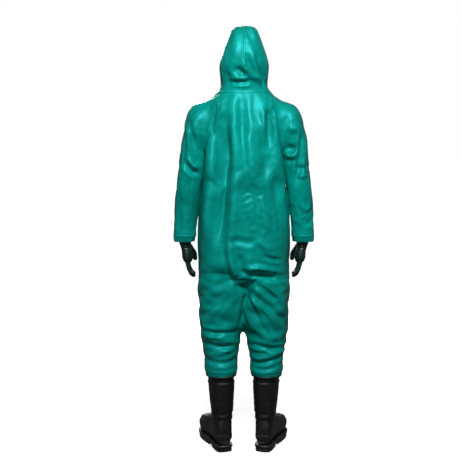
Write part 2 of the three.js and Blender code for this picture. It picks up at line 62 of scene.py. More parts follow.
# ---- Sizes of the suit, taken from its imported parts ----

HEM_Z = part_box("trouser_shin_left")[0].z
CUFF_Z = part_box("sleeve_lower_left")[0].z
LEG_X = (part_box("trouser_shin_left")[0].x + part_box("trouser_shin_left")[1].x) / 2
SIDE_SEAM_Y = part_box("back_panel")[0].y
ZIP_LOW_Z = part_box("zip_tape_left")[0].z
ZIP_TOP_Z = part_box("zip_tape_left")[1].z
FACE_Z = (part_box("face_seal")[0].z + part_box("face_seal")[1].z) / 2
FACE_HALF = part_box("face_seal")[1].x
FACE_TALL = (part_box("face_seal")[1].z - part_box("face_seal")[0].z) / 2
BOOT_TOP_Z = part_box("boot_upper_left")[1].z
SOLE_TOP_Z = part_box("boot_outsole_left")[1].z
JOINTS = {joint["name"]: joint for joint in frame["record"]["behaviour"]["joints"]}
CROTCH_Z = 0.735

FABRIC_WALL = 0.0012
CLOTH_GRID = 0.0105
LEG_SPARE = 0.13  # trouser length that is gathered up above the boots
SLEEVE_SPARE = 0.01


# ---- Mesh helpers ----


def new_piece(name, points, faces):
    """A mesh object at the origin from points and faces in metres."""
    mesh = bpy.data.meshes.new(name)
    mesh.from_pydata([tuple(p) for p in points], [], [tuple(f) for f in faces])
    mesh.update()
    piece = bpy.data.objects.new(name, mesh)
    SCENE.collection.objects.link(piece)
    return piece


def closed_rows(rows, around):
    """Faces of a closed body whose points are rows of the same length, one after another."""
    faces = []
    for row in range(rows - 1):
        for i in range(around):
            a, b = row * around + i, row * around + (i + 1) % around
            faces.append((a, b, b + around, a + around))
    faces.append(tuple(reversed(range(around))))
    faces.append(tuple(range((rows - 1) * around, rows * around)))
    return faces


def ring_faces(around, section):
    """Faces of a closed ring whose sections of so many points follow one another round it."""
    faces = []
    for i in range(around):
        here, beyond = i * section, (i + 1) % around * section
        for j in range(section):
            k = (j + 1) % section
            faces.append((here + j, here + k, beyond + k, beyond + j))
    return faces


def loft(sections, sides=40, power=2.3):
    """Points and faces of a closed body through level sections (x, y, z, half width, half depth)."""
    points = []
    bend = 2 / power
    for x, y, z, half, deep in sections:
        for i in range(sides):
            a = 2 * math.pi * i / sides
            c, s = math.cos(a), math.sin(a)
            across = half * math.copysign(abs(s) ** bend, s)
            points.append((x + across, y - deep * math.copysign(abs(c) ** bend, c), z))
    return points, closed_rows(len(sections), sides)


def ball(x, y, z, half, deep, tall, rings=14):
    """A closed rounded body."""
    rows = []
    for i in range(rings + 1):
        a = math.pi * (i + 0.25) / (rings + 0.5)
        rows.append((x, y, z - tall * math.cos(a), half * math.sin(a), deep * math.sin(a)))
    return loft(rows, sides=32, power=2)


def curve_through(points, steps):
    """Evenly numbered points on a smooth curve through the given rows of numbers."""
    rows = np.array(points, float)
    padded = np.vstack([2 * rows[0] - rows[1], rows, 2 * rows[-1] - rows[-2]])
    made = []
    for t in np.linspace(0, len(rows) - 1, steps):
        i = min(int(t), len(rows) - 2)
        u = t - i
        a, b, c, d = padded[i : i + 4]
        bend = (2 * a - 5 * b + 4 * c - d) * u * u + (3 * b - a - 3 * c + d) * u**3
        made.append(b + 0.5 * ((c - a) * u + bend))
    return np.array(made)


def finger(points, steps=16, sides=20):
    """A round-ended tube along rows of (x, y, z, radius)."""
    path = curve_through(points, steps)
    ends = []
    for turn in (80, 60, 35):
        low, high = path[0], path[-1]
        s, c = math.sin(math.radians(turn)), math.cos(math.radians(turn))
        back = (path[0] - path[1])[:3]
        ahead = (path[-1] - path[-2])[:3]
        back, ahead = back / np.linalg.norm(back), ahead / np.linalg.norm(ahead)
        ends.append((np.append(low[:3] + back * low[3] * s, low[3] * c),
                     np.append(high[:3] + ahead * high[3] * s, high[3] * c)))
    path = np.vstack([[e[0] for e in ends], path, [e[1] for e in reversed(ends)]])
    points = []
    for i, (x, y, z, radius) in enumerate(path.tolist()):
        along = Vector((path[min(i + 1, len(path) - 1)] - path[max(i - 1, 0)])[:3]).normalized()
        side = along.cross(Vector((0, 1, 0))).normalized()
        up = side.cross(along)
        for k in range(sides):
            a = 2 * math.pi * k / sides
            points.append(Vector((x, y, z)) + radius * (math.cos(a) * side + math.sin(a) * up))
    return points, closed_rows(len(path), sides)


def joined(name, parts):
    """One mesh object from several lists of points and faces."""
    points, faces = [], []
    for part_points, part_faces in parts:
        start = len(points)
        points += list(part_points)
        faces += [tuple(i + start for i in face) for face in part_faces]
    return new_piece(name, points, faces)


def settle(piece):
    """Applies every modifier and shape key of a piece to its mesh."""
    bpy.context.view_layer.update()
    seen = piece.evaluated_get(bpy.context.evaluated_depsgraph_get())
    mesh = bpy.data.meshes.new_from_object(seen)
    piece.modifiers.clear()
    piece.data = mesh
    return piece


def remesh(piece, size, rounds=2):
    """Joins overlapping bodies into one even skin and smooths its steps."""
    made = piece.modifiers.new("skin", "REMESH")
    made.mode = "VOXEL"
    made.voxel_size = size
    if rounds:
        soft = piece.modifiers.new("soft", "SMOOTH")
        soft.factor = 0.5
        soft.iterations = rounds
    return settle(piece)


def faced_outwards(piece):
    """Turns a closed piece's faces outwards."""
    mesh = bmesh.new()
    mesh.from_mesh(piece.data)
    bmesh.ops.recalc_face_normals(mesh, faces=mesh.faces)
    mesh.to_mesh(piece.data)
    mesh.free()
    return piece


def walled(piece, wall):
    """Gives an open skin its thickness, inwards."""
    made = piece.modifiers.new("wall", "SOLIDIFY")
    made.thickness = wall
    made.offset = -1
    return settle(piece)


def subdivided(piece):
    made = piece.modifiers.new("fine", "SUBSURF")
    made.levels = made.render_levels = 1
    return settle(piece)


def smooth(piece):
    piece.data.polygons.foreach_set("use_smooth", [True] * len(piece.data.polygons))
    return piece


def coordinates(mesh):
    """The mesh's points as an array."""
    flat = np.empty(len(mesh.vertices) * 3, np.float32)
    mesh.vertices.foreach_get("co", flat)
    return flat.reshape(-1, 3).astype(float)


def normals(mesh):
    flat = np.empty(len(mesh.vertices) * 3, np.float32)
    mesh.vertex_normals.foreach_get("vector", flat)
    return flat.reshape(-1, 3).astype(float)


def move_to(mesh, points):
    """Sets the mesh's points from an array."""
    mesh.vertices.foreach_set("co", points.astype(np.float32).ravel())
    mesh.update()


def ease(value, start, end):
    """0 before start, 1 after end and a smooth step between, for numbers and arrays."""
    t = np.clip((value - start) / (end - start), 0, 1)
    return t * t * (3 - 2 * t)


def give(mesh, name, values):
    """Stores a number or a vector for each point of a mesh."""
    values = np.asarray(values, np.float32)
    kind, field = ("FLOAT", "value") if values.ndim == 1 else ("FLOAT_VECTOR", "vector")
    made = mesh.attributes.get(name) or mesh.attributes.new(name, kind, "POINT")
    made.data.foreach_set(field, values.ravel())


def taken(mesh, name, width):
    flat = np.empty(len(mesh.vertices) * width, np.float32)
    mesh.attributes[name].data.foreach_get("value" if width == 1 else "vector", flat)
    return flat.astype(float) if width == 1 else flat.reshape(-1, width).astype(float)


def relaxed(mesh, points, share, rounds):
    """Evens out a mesh's points where share is above 0. Open edges stay where they are."""
    edges = np.empty(len(mesh.edges) * 2, np.int64)
    mesh.edges.foreach_get("vertices", edges)
    edges = edges.reshape(-1, 2)
    count = np.bincount(edges.ravel(), minlength=len(points)).astype(float)
    loops = np.empty(len(mesh.loops), np.int64)
    mesh.loops.foreach_get("edge_index", loops)
    open_edges = edges[np.bincount(loops, minlength=len(edges)) < 2]
    share = share.copy()
    share[open_edges.ravel()] = 0
    for _ in range(rounds):
        total = np.zeros_like(points)
        for a, b in ((0, 1), (1, 0)):
            for axis in range(3):
                total[:, axis] += np.bincount(
                    edges[:, a], weights=points[edges[:, b], axis], minlength=len(points)
                )
        points = points + share[:, None] * (total / count[:, None] - points)
    return points


def grain(points, size, seed=0.0):
    """Smooth noise from -1 to 1 at each point."""
    start = Vector((seed, 2.7 * seed, -seed))
    return np.array([noise.noise(Vector(p) / size + start) for p in points])


# ---- Finishes ----


class Line:
    """A number, colour or vector inside a finish, which Python's operators work on."""

    def __init__(self, finish, socket):
        self.finish = finish
        self.socket = socket

    def sum_up(self, operation, *values):
        return self.finish.node("Math", {"operation": operation}, dict(enumerate(values)))

    def __add__(self, other):
        return self.sum_up("ADD", self, other)

    def __sub__(self, other):
        return self.sum_up("SUBTRACT", self, other)

    def __rsub__(self, other):
        return self.sum_up("SUBTRACT", other, self)

    def __mul__(self, other):
        return self.sum_up("MULTIPLY", self, other)

    def __pow__(self, other):
        return self.sum_up("POWER", self, other)

    __radd__ = __add__
    __rmul__ = __mul__

    def sine(self):
        return self.sum_up("SINE", self)

    def step(self, start, end):
        """0 before start, 1 after end and smooth between."""
        values = {"Value": self, "From Min": start, "From Max": end}
        return self.finish.node("MapRange", {"interpolation_type": "SMOOTHSTEP"}, values)


class Finish:
    """A material, built up from its nodes. place is the attribute that its patterns follow."""

    def __init__(self, name, color, roughness, place=None, **fixed):
        self.material = bpy.data.materials.new(name)
        self.material.use_nodes = True
        self.tree = self.material.node_tree
        self.shader = self.tree.nodes["Principled BSDF"]
        for socket, value in fixed.items():
            self.shader.inputs[socket].default_value = value
        self.set("Base Color", (*color, 1))
        self.set("Roughness", roughness)
        if place:
            self.place = self.node("Attribute", {"attribute_name": place}, {}, "Vector")
        else:
            self.place = self.node("TexCoord", {}, {}, "Object")

    def node(self, kind, settings, values, output=0):
        """Adds a node with its settings, then links or sets its sockets, and returns one output."""
        made = self.tree.nodes.new("ShaderNode" + kind)
        for name, value in settings.items():
            setattr(made, name, value)
        for name, value in values.items():
            self.join(made.inputs[name], value)
        return Line(self, made.outputs[output])

    def join(self, socket, value):
        if isinstance(value, Line):
            self.tree.links.new(value.socket, socket)
        else:
            socket.default_value = value

    def set(self, name, value):
        self.join(self.shader.inputs[name], value)

    def noise(self, scale, detail=3.0, rough=0.5):
        values = {"Vector": self.place, "Scale": scale, "Detail": detail, "Roughness": rough}
        return self.node("TexNoise", {}, values)

    def cells(self, scale):
        return self.node("TexVoronoi", {"feature": "F1"}, {"Vector": self.place, "Scale": scale})

    def axis(self, name):
        return self.node("SeparateXYZ", {}, {"Vector": self.place}, name)

    def own(self, name):
        """A number stored on the points of the piece."""
        return self.node("Attribute", {"attribute_name": name}, {}, "Fac")

    def blend(self, share, low, high):
        """A colour between two colours, by share."""
        colors = [c if isinstance(c, Line) else (*c, 1) for c in (low, high)]
        values = {0: share, 6: colors[0], 7: colors[1]}
        return self.node("Mix", {"data_type": "RGBA"}, values, 2)

    def relief(self, height, depth, strength=1.0):
        values = {"Height": height, "Distance": depth, "Strength": strength}
        self.set("Normal", self.node("Bump", {}, values))

    def threads(self, pitch):
        """Crossed threads, from -1 to 1, with their pitch in metres."""
        turn = 2 * math.pi / pitch
        across = ((self.axis("X") + self.axis("Y")) * turn).sine()
        along = (self.axis("Z") * turn).sine()
        return across * along


def coated_fabric():
    """Glossy plastic-coated fabric: the scrim shows faintly, and creases are paler and duller."""
    made = Finish("coated_fabric", (0, 0.25, 0.2), 0.3, "place", IOR=1.52)
    made.shader.inputs["Specular Tint"].default_value = (0.08, 0.85, 1.0, 1)
    patches = made.noise(4.5, 4, 0.6)
    mottle = made.noise(38, 4, 0.6)
    worn = made.own("worn")
    base = made.blend(patches.step(0.35, 0.68), (0, 0.175, 0.135), (0, 0.262, 0.215))
    base = made.blend(mottle * 0.3, base, (0, 0.215, 0.190))
    made.set("Base Color", made.blend(worn * 0.22, base, (0.01, 0.42, 0.40)))
    made.set("Roughness", 0.29 + mottle * 0.12 + patches * 0.08 + worn * 0.10)
    made.relief(made.threads(0.0016) * 0.12 + made.noise(160, 3) + mottle * 1.4, 0.0007, 0.35)
    return made.material


def fabric_inside():
    """The uncoated woven face inside the suit."""
    made = Finish("fabric_inside", (0.1, 0.3, 0.25), 0.85, "place")
    weave = made.threads(0.0022)
    base = made.blend(weave * 0.5 + 0.5, (0.035, 0.15, 0.12), (0.10, 0.30, 0.25))
    made.set("Base Color", made.blend(made.noise(18) * 0.5, base, (0.07, 0.22, 0.18)))
    made.set("Roughness", 0.78 + made.noise(60) * 0.15)
    made.relief(weave, 0.0004, 0.7)
    return made.material


def rubber(name, color, pale, roughness, grain_size, place=None, dust_top=None):
    """Moulded rubber: fine grain, scuffs that are paler and duller, and dust low down."""
    made = Finish(name, color, roughness, place)
    scuffs = made.noise(22, 6, 0.7).step(0.52, 0.78)
    base = made.blend(scuffs * 0.5, color, pale)
    if dust_top:
        dust = (1 - made.axis("Z").step(0.0, dust_top)) * made.noise(30, 5).step(0.35, 0.7)
        base = made.blend(dust * 0.35, base, (0.09, 0.085, 0.08))
    made.set("Base Color", base)
    made.set("Roughness", roughness + scuffs * 0.18 + made.noise(8) * 0.1 - 0.05)
    made.relief(made.cells(1 / grain_size) + made.noise(70, 4) * 1.5, 0.0006, 0.3)
    return made.material


def moulded_plastic(name, color, pale):
    """Moulded plastic with a faint spark-eroded grain and rubbed places."""
    made = Finish(name, color, 0.4)
    rubbed = made.noise(45, 5, 0.65).step(0.5, 0.8)
    made.set("Base Color", made.blend(rubbed * 0.4, color, pale))
    made.set("Roughness", 0.36 + rubbed * 0.2)
    made.relief(made.noise(900, 2), 0.0002, 0.3)
    return made.material


def plated_steel():
    """Nickel-plated steel with fine scratches and dull handling marks."""
    made = Finish("steel", (0.55, 0.57, 0.6), 0.3, Metallic=1.0)
    marks = made.noise(120, 6, 0.7)
    scratches = ((made.axis("X") + made.axis("Z")) * 9000 + marks * 30).sine()
    made.set("Base Color", made.blend(marks.step(0.4, 0.7), (0.42, 0.43, 0.45), (0.66, 0.67, 0.69)))
    made.set("Roughness", 0.22 + marks * 0.2 + scratches * 0.03)
    made.relief(scratches * 0.3 + marks, 0.0002, 0.25)
    return made.material


FABRIC = coated_fabric()
INSIDE = fabric_inside()
GLOVE = rubber("glove_rubber", (0.002, 0.018, 0.014), (0.008, 0.045, 0.036), 0.40, 0.0016, "place")
BLACK = rubber("black_rubber", (0.0035, 0.0036, 0.005), (0.012, 0.012, 0.014), 0.42, 0.0012, None, 0.12)
ZIP = moulded_plastic("zip_plastic", (0.012, 0.013, 0.015), (0.05, 0.05, 0.055))
RING = moulded_plastic("ring_plastic", (0.03, 0.13, 0.105), (0.10, 0.26, 0.22))
STEEL = plated_steel()
FINISHES = {
    "coated_fabric": FABRIC,
    "fabric_inside": INSIDE,
    "glove_rubber": GLOVE,
    "black_rubber": BLACK,
    "zip_plastic": ZIP,
    "ring_plastic": RING,
    "steel": STEEL,
}


def finished(piece, slot, body, *nodes):
    """Gives a made piece its finish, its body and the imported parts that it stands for."""
    piece.data.materials.clear()
    piece.data.materials.append(FINISHES[slot])
    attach(piece, body)
    if nodes:
        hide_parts(*nodes)
    return piece


# ---- The cut of the suit: its sections before it is put on ----

# z, half width, front y and back y of the trunk and hood, from the crotch to the crown.
TRUNK = [
    (CROTCH_Z, 0.070, -0.060, 0.075),
    (0.760, 0.152, -0.112, 0.120),
    (0.800, 0.188, -0.134, 0.140),
    (0.880, 0.194, -0.142, 0.144),
    (1.053, 0.188, -0.128, 0.142),
    (1.180, 0.173, -0.116, 0.145),
    (1.262, 0.163, -0.111, 0.146),
    (1.372, 0.156, -0.102, 0.141),
    (1.449, 0.158, -0.096, 0.124),
    (1.474, 0.152, -0.094, 0.113),
    (1.490, 0.139, -0.093, 0.104),
    (1.506, 0.118, -0.092, 0.099),
    (1.522, 0.097, -0.094, 0.095),
    (1.540, 0.088, -0.096, 0.096),
    (1.576, 0.094, -0.102, 0.110),
    (1.620, 0.101, -0.106, 0.119),
    (1.665, 0.090, -0.106, 0.117),
    (1.705, 0.076, -0.098, 0.106),
    (1.742, 0.062, -0.080, 0.088),
    (1.768, 0.053, -0.056, 0.064),
    (1.779, 0.038, -0.026, 0.034),
]
# z, half width, half depth and y of a trouser leg.
TROUSER = [
    (HEM_Z - LEG_SPARE, 0.068, 0.076, 0.010),
    (0.407, 0.082, 0.086, 0.008),
    (0.505, 0.091, 0.095, 0.004),
    (0.603, 0.093, 0.100, 0.006),
    (0.700, 0.094, 0.103, 0.007),
    (0.805, 0.094, 0.102, 0.006),
]
# z, x, y, half width and half depth of a sleeve.
SLEEVE = [
    (CUFF_Z - SLEEVE_SPARE, 0.251, -0.023, 0.046, 0.052),
    (0.95, 0.248, -0.018, 0.047, 0.055),
    (1.03, 0.241, -0.011, 0.049, 0.058),
    (1.10, 0.2345, 0.000, 0.050, 0.062),
    (1.17, 0.2275, 0.003, 0.050, 0.065),
    (1.262, 0.2165, 0.006, 0.049, 0.069),
    (1.335, 0.205, 0.006, 0.052, 0.076),
    (1.375, 0.190, 0.005, 0.058, 0.082),
]
SHOULDER = (0.172, 0.005, 1.372, 0.074, 0.088, 0.104)  # centre, half width, half depth, half height
# z and x of the line that parts the sleeve from the trunk.
ARMHOLE = [(0.85, 0.2), (0.95, 0.196), (1.03, 0.191), (1.10, 0.184), (1.18, 0.175)]
ARMHOLE += [(1.262, 0.1655), (1.36, 0.157), (1.49, 0.105)]
SLEEVE_END_X = 0.2


def armhole_x(z):
    return np.interp(z, [row[0] for row in ARMHOLE], [row[1] for row in ARMHOLE])


def arm_spread(z):
    """How far the sleeves are held off the trunk while their skins are made."""
    return 0.036 * ease(z, 1.315, 1.20)


def trunk_loft(rows, grow=0.0):
    sections = [(0, (f + b) / 2, z, h + grow, (b - f) / 2 + grow) for z, h, f, b in rows]
    return loft(sections, 56)


def cut_suit():
    """The suit's one outer skin, with its openings, as it is cut."""
    parts = [trunk_loft(TRUNK)]
    for k in SIDES.values():
        parts.append(loft([(LEG_X * k, y, z, h, d) for z, h, d, y in TROUSER]))
        rows = curve_through(SLEEVE, 24)
        parts.append(loft([((x + arm_spread(z)) * k, y, z, h, d) for z, x, y, h, d in rows]))
        x, y, z, half, deep, tall = SHOULDER
        parts.append(ball(x * k, y, z, half, deep, tall))
    suit = remesh(joined("suit_skin", parts), CLOTH_GRID, 3)
    points = coordinates(suit.data)
    x, _, z = np.abs(points).T
    spread = arm_spread(z) * (x > armhole_x(z) + 0.5 * arm_spread(z))
    points[:, 0] -= np.sign(points[:, 0]) * spread
    x = np.abs(points[:, 0])
    yoke = ease(x, 0.10, 0.13) * ease(x, 0.205, 0.18) * ease(z, 1.30, 1.36)
    move_to(suit.data, relaxed(suit.data, points, 0.7 * yoke, 16))
    mesh = bmesh.new()
    mesh.from_mesh(suit.data)
    grid = CLOTH_GRID

    def open_here(c):
        leg_end = c.z < HEM_Z - LEG_SPARE + 0.6 * grid
        sleeve_end = abs(c.x) > SLEEVE_END_X and c.z < CUFF_Z - SLEEVE_SPARE + 0.6 * grid
        across = (c.x / FACE_HALF) ** 2 + ((c.z - FACE_Z) / FACE_TALL) ** 2
        face = c.y < -0.03 and across < 1
        slot = abs(c.x) < 0.009 and c.y < 0 and ZIP_LOW_Z - 0.006 < c.z < ZIP_TOP_Z + 0.004
        return leg_end or sleeve_end or face or slot

    gone = [f for f in mesh.faces if open_here(f.calc_center_median())]
    bmesh.ops.delete(mesh, geom=gone, context="FACES")
    for v in mesh.verts:
        if not v.is_boundary:
            continue
        if v.co.z < HEM_Z:
            v.co.z = HEM_Z - LEG_SPARE + grid
        elif abs(v.co.x) > SLEEVE_END_X and v.co.z < CUFF_Z:
            v.co.z = CUFF_Z - SLEEVE_SPARE + grid
        elif v.co.z > FACE_Z - FACE_TALL - 0.02 and v.co.y < 0:
            a = math.atan2((v.co.z - FACE_Z) / FACE_TALL, v.co.x / FACE_HALF)
            v.co.x = FACE_HALF * math.cos(a)
            v.co.z = FACE_Z + FACE_TALL * math.sin(a)
        elif v.co.y < 0:
            v.co.x = math.copysign(0.0095, v.co.x)
    mesh.to_mesh(suit.data)
    mesh.free()
    give(suit.data, "place", coordinates(suit.data))
    return suit


# ---- The body that fills the suit while it is draped ----

BODY = [
    (0.74, 0.10, -0.07, 0.08),
    (0.80, 0.168, -0.110, 0.118),
    (0.88, 0.172, -0.112, 0.120),
    (1.00, 0.152, -0.100, 0.096),
    (1.08, 0.142, -0.095, 0.086),
    (1.20, 0.140, -0.100, 0.096),
    (1.32, 0.144, -0.100, 0.110),
    (1.42, 0.148, -0.084, 0.104),
    (1.455, 0.150, -0.070, 0.092),
    (1.474, 0.134, -0.062, 0.085),
    (1.492, 0.108, -0.058, 0.078),
    (1.514, 0.078, -0.056, 0.070),
    (1.56, 0.060, -0.058, 0.062),
]
LEG = [(0.18, 0.050, 0.058, 0.006), (0.325, 0.056, 0.064, 0.006), (0.335, 0.063, 0.072, 0.010)]
LEG += [(0.361, 0.063, 0.072, 0.010), (0.375, 0.058, 0.064, 0.006)]
LEG += [(0.46, 0.070, 0.072, 0.002), (0.56, 0.077, 0.080, 0.002), (0.64, 0.082, 0.086, 0.004)]
LEG += [(0.74, 0.085, 0.092, 0.006), (0.82, 0.085, 0.092, 0.006)]
ARM = [(0.86, 0.251, -0.024, 0.036), (0.900, 0.249, -0.021, 0.042), (0.932, 0.247, -0.019, 0.042)]
ARM += [(0.95, 0.246, -0.018, 0.038), (1.10, 0.231, 0.0, 0.042)]
ARM += [(1.26, 0.213, 0.004, 0.043), (1.38, 0.182, 0.004, 0.052)]


def filling_body():
    parts = [trunk_loft(BODY), ball(0, -0.002, 1.655, 0.074, 0.098, 0.108)]
    for k in SIDES.values():
        parts.append(loft([(LEG_X * k, y, z, h, d) for z, h, d, y in LEG], power=2))
        parts.append(loft([(x * k, y, z, r, 1.15 * r) for z, x, y, r in ARM], power=2))
        parts.append(ball(0.160 * k, 0.0, 1.398, 0.062, 0.068, 0.070))
    return remesh(joined("filling_body", parts), 0.014, 4)


# ---- Draping ----

DRAPE_FRAMES = 44
TRUNK_EASE = 0.07  # how much wider the cloth is than the place it is worn in
LEG_EASE = 0.07
SLEEVE_EASE = 0.03


def pin(suit, weights, name="held"):
    group = suit.vertex_groups.new(name=name)
    for i, weight in enumerate(weights):
        if weight > 0:
            group.add([i], float(weight), "REPLACE")
    return group.name


def loosened(points):
    """The cloth's own shape: wider round the trunk, arms and legs than it is worn."""
    made = points.copy()
    x, y, z = points.T
    arm = ease(np.abs(x) - armhole_x(z), -0.004, 0.01)
    leg = ease(z, 0.80, 0.70) * (1 - arm)
    trunk = (1 - arm) * (1 - leg) * ease(z, 1.52, 1.42) * ease(z, 0.86, 1.0)
    hood = 0.03 * ease(z, 1.50, 1.60)
    front = 1 - 0.8 * ease(np.abs(x), 0.09, 0.05) * (y < 0)
    made[:, 0] += x * (TRUNK_EASE * trunk + hood) * front
    made[:, 1] += y * (TRUNK_EASE * trunk + hood) * front
    arm_x = np.interp(z, [row[0] for row in SLEEVE], [row[1] for row in SLEEVE])
    made[:, 0] += arm * SLEEVE_EASE * (x - np.sign(x) * arm_x)
    made[:, 1] += arm * SLEEVE_EASE * y
    made[:, 0] += leg * LEG_EASE * (x - np.sign(x) * LEG_X)
    made[:, 1] += leg * LEG_EASE * y
    return made


def drape(suit):
    """Lets the suit hang on the body, with its hems drawn up to where they are worn."""
    rest = coordinates(suit.data)
    x, y, z = rest.T
    sleeves = np.abs(x) > armhole_x(z)
    legs = (z < CROTCH_Z) & ~sleeves
    leg_low = HEM_Z - LEG_SPARE
    sleeve_low = CUFF_Z - SLEEVE_SPARE
    hem = ease(z, leg_low + 0.064, leg_low + 0.044) * legs
    cuff = ease(z, sleeve_low + 0.050, sleeve_low + 0.030) * sleeves
    across = (x / FACE_HALF) ** 2 + ((z - FACE_Z) / FACE_TALL) ** 2
    face = ease(across, 1.7, 1.2) * (y < -0.02)
    front = ease(np.abs(x), 0.065, 0.042) * (y < 0) * ease(z, 0.86, 0.90) * (z < 1.56)
    crown = 0.25 * ease(z, 1.60, 1.70)
    seat = 0.9 * ease(z, 0.76, 0.80) * ease(z, 1.12, 0.88) * ~sleeves
    held = np.maximum.reduce([hem, cuff, face, front, crown, seat])
    suit.shape_key_add(name="cut")
    worn = suit.shape_key_add(name="worn")
    loose = suit.shape_key_add(name="loose")
    loose.data.foreach_set("co", loosened(rest).astype(np.float32).ravel())
    drawn = rest.copy()
    drawn[:, 2] += hem * (LEG_SPARE - CLOTH_GRID)
    drawn[:, 2] += cuff * (SLEEVE_SPARE - CLOTH_GRID)
    worn.data.foreach_set("co", drawn.astype(np.float32).ravel())
    loose.value = 0
    for at, value in ((1, 0.0), (26, 1.0)):
        worn.value = value
        worn.keyframe_insert("value", frame=at)
    cloth = suit.modifiers.new("drape", "CLOTH")
    made = cloth.settings
    made.quality = 6
    made.mass = 0.12
    made.tension_stiffness = 60
    made.compression_stiffness = 60
    made.shear_stiffness = 20
    made.bending_stiffness = 2.5
    made.bending_stiffness_max = 20
    made.vertex_group_bending = pin(suit, legs * 1.0, "stiff")
    made.air_damping = 2.0
    made.rest_shape_key = loose
    made.vertex_group_mass = pin(suit, held)
    made.pin_stiffness = 3.0
    made.effector_weights.gravity = 0.5
    cloth.collision_settings.distance_min = 0.004
    cloth.collision_settings.collision_quality = 2
    cloth.collision_settings.use_self_collision = False
    body = filling_body()
    body.modifiers.new("solid", "COLLISION")
    body.collision.thickness_outer = 0.004
    body.collision.cloth_friction = 8
    for step in range(1, DRAPE_FRAMES + 1):
        SCENE.frame_set(step)
    settle(suit)
    bpy.data.objects.remove(body)
    SCENE.frame_set(1)


# ---- Folds that are listed one by one, on the worn suit ----

# Each is a crease: its line of (x, z), its half width and its depth. A negative depth is a ridge.
BACK_FOLDS = [
    # the deep fold down the back, left of the middle, and the ridges beside it
    ([(0.076, 1.385), (0.077, 1.25), (0.085, 1.12), (0.100, 0.99), (0.108, 0.86)], 0.027, 0.036),
    ([(0.037, 1.475), (0.044, 1.38), (0.048, 1.28), (0.056, 1.14), (0.060, 1.00)], 0.017, -0.012),
    ([(0.018, 1.46), (0.006, 1.34), (0.004, 1.22), (-0.004, 1.10)], 0.016, 0.005),
    ([(-0.010, 1.36), (-0.022, 1.26), (-0.036, 1.18)], 0.012, -0.006),
    ([(0.104, 1.47), (0.122, 1.40), (0.134, 1.32)], 0.010, 0.006),
    ([(-0.100, 1.45), (-0.101, 1.38), (-0.106, 1.28)], 0.012, 0.015),
    ([(-0.078, 1.34), (-0.086, 1.24), (-0.084, 1.16)], 0.022, 0.008),
    ([(0.132, 1.30), (0.142, 1.15), (0.146, 1.00), (0.150, 0.88)], 0.022, -0.005),
    ([(-0.120, 1.20), (-0.135, 1.05), (-0.150, 0.95)], 0.014, 0.006),
    ([(-0.060, 1.12), (-0.085, 1.02), (-0.090, 0.93)], 0.014, -0.006),
    # the slack of the seat
    ([(0.070, 0.900), (0.030, 0.913), (-0.015, 0.905), (-0.056, 0.925)], 0.013, 0.006),
    ([(0.064, 0.93), (0.058, 0.86), (0.040, 0.79), (0.012, 0.745)], 0.013, -0.009),
    ([(-0.050, 0.920), (-0.080, 0.890), (-0.118, 0.866)], 0.012, -0.007),
    ([(-0.070, 0.850), (-0.110, 0.834), (-0.150, 0.826)], 0.009, 0.009),
    ([(0.022, 0.86), (0.014, 0.80), (0.004, 0.755)], 0.018, 0.012),
    ([(0.000, 0.772), (-0.050, 0.776), (-0.100, 0.762), (-0.150, 0.745)], 0.012, 0.014),
    ([(-0.010, 0.800), (-0.060, 0.800), (-0.110, 0.792), (-0.160, 0.778)], 0.010, -0.007),
    # the legs
    ([(-0.014, 0.700), (-0.050, 0.640), (-0.100, 0.540), (-0.160, 0.455)], 0.008, -0.006),
    ([(-0.030, 0.690), (-0.080, 0.650), (-0.120, 0.610), (-0.160, 0.570)], 0.011, 0.012),
    ([(-0.040, 0.735), (-0.090, 0.700), (-0.140, 0.650)], 0.009, 0.008),
    ([(0.060, 0.690), (0.105, 0.640), (0.150, 0.575)], 0.012, -0.005),
    ([(0.186, 0.526), (0.130, 0.520), (0.070, 0.520), (0.012, 0.510)], 0.009, 0.013),
    ([(0.186, 0.500), (0.120, 0.500), (0.060, 0.484), (0.012, 0.470)], 0.009, -0.008),
    ([(0.178, 0.474), (0.110, 0.462), (0.012, 0.452)], 0.009, 0.012),
    ([(0.172, 0.425), (0.110, 0.430), (0.050, 0.452), (0.014, 0.466)], 0.010, -0.009),
    ([(0.166, 0.400), (0.110, 0.390), (0.060, 0.392), (0.020, 0.412)], 0.009, 0.011),
    ([(-0.012, 0.466), (-0.070, 0.462), (-0.120, 0.452), (-0.176, 0.446)], 0.009, 0.013),
    ([(-0.020, 0.402), (-0.070, 0.412), (-0.120, 0.426), (-0.168, 0.446)], 0.010, -0.009),
    ([(-0.030, 0.392), (-0.080, 0.392), (-0.130, 0.404), (-0.166, 0.414)], 0.008, 0.010),
    ([(-0.036, 0.366), (-0.090, 0.362), (-0.160, 0.384)], 0.008, 0.007),
    # the hood: the dart from the crown, and the slack at the nape
    ([(-0.004, 1.778), (-0.020, 1.740), (-0.030, 1.712)], 0.008, 0.008),
    ([(0.030, 1.770), (0.036, 1.700), (0.046, 1.640)], 0.012, -0.004),
    ([(-0.030, 1.680), (-0.036, 1.630), (-0.052, 1.580), (-0.070, 1.545)], 0.010, -0.008),
    ([(0.010, 1.640), (-0.006, 1.605), (-0.034, 1.572), (-0.060, 1.556)], 0.010, -0.008),
    ([(0.040, 1.602), (0.020, 1.590), (0.000, 1.572)], 0.011, 0.012),
    ([(0.056, 1.548), (0.030, 1.550), (0.000, 1.548), (-0.024, 1.552)], 0.008, 0.013),
    ([(-0.060, 1.610), (-0.072, 1.570), (-0.078, 1.530)], 0.008, 0.010),
    ([(0.076, 1.600), (0.064, 1.560), (0.060, 1.530)], 0.010, 0.005),
]
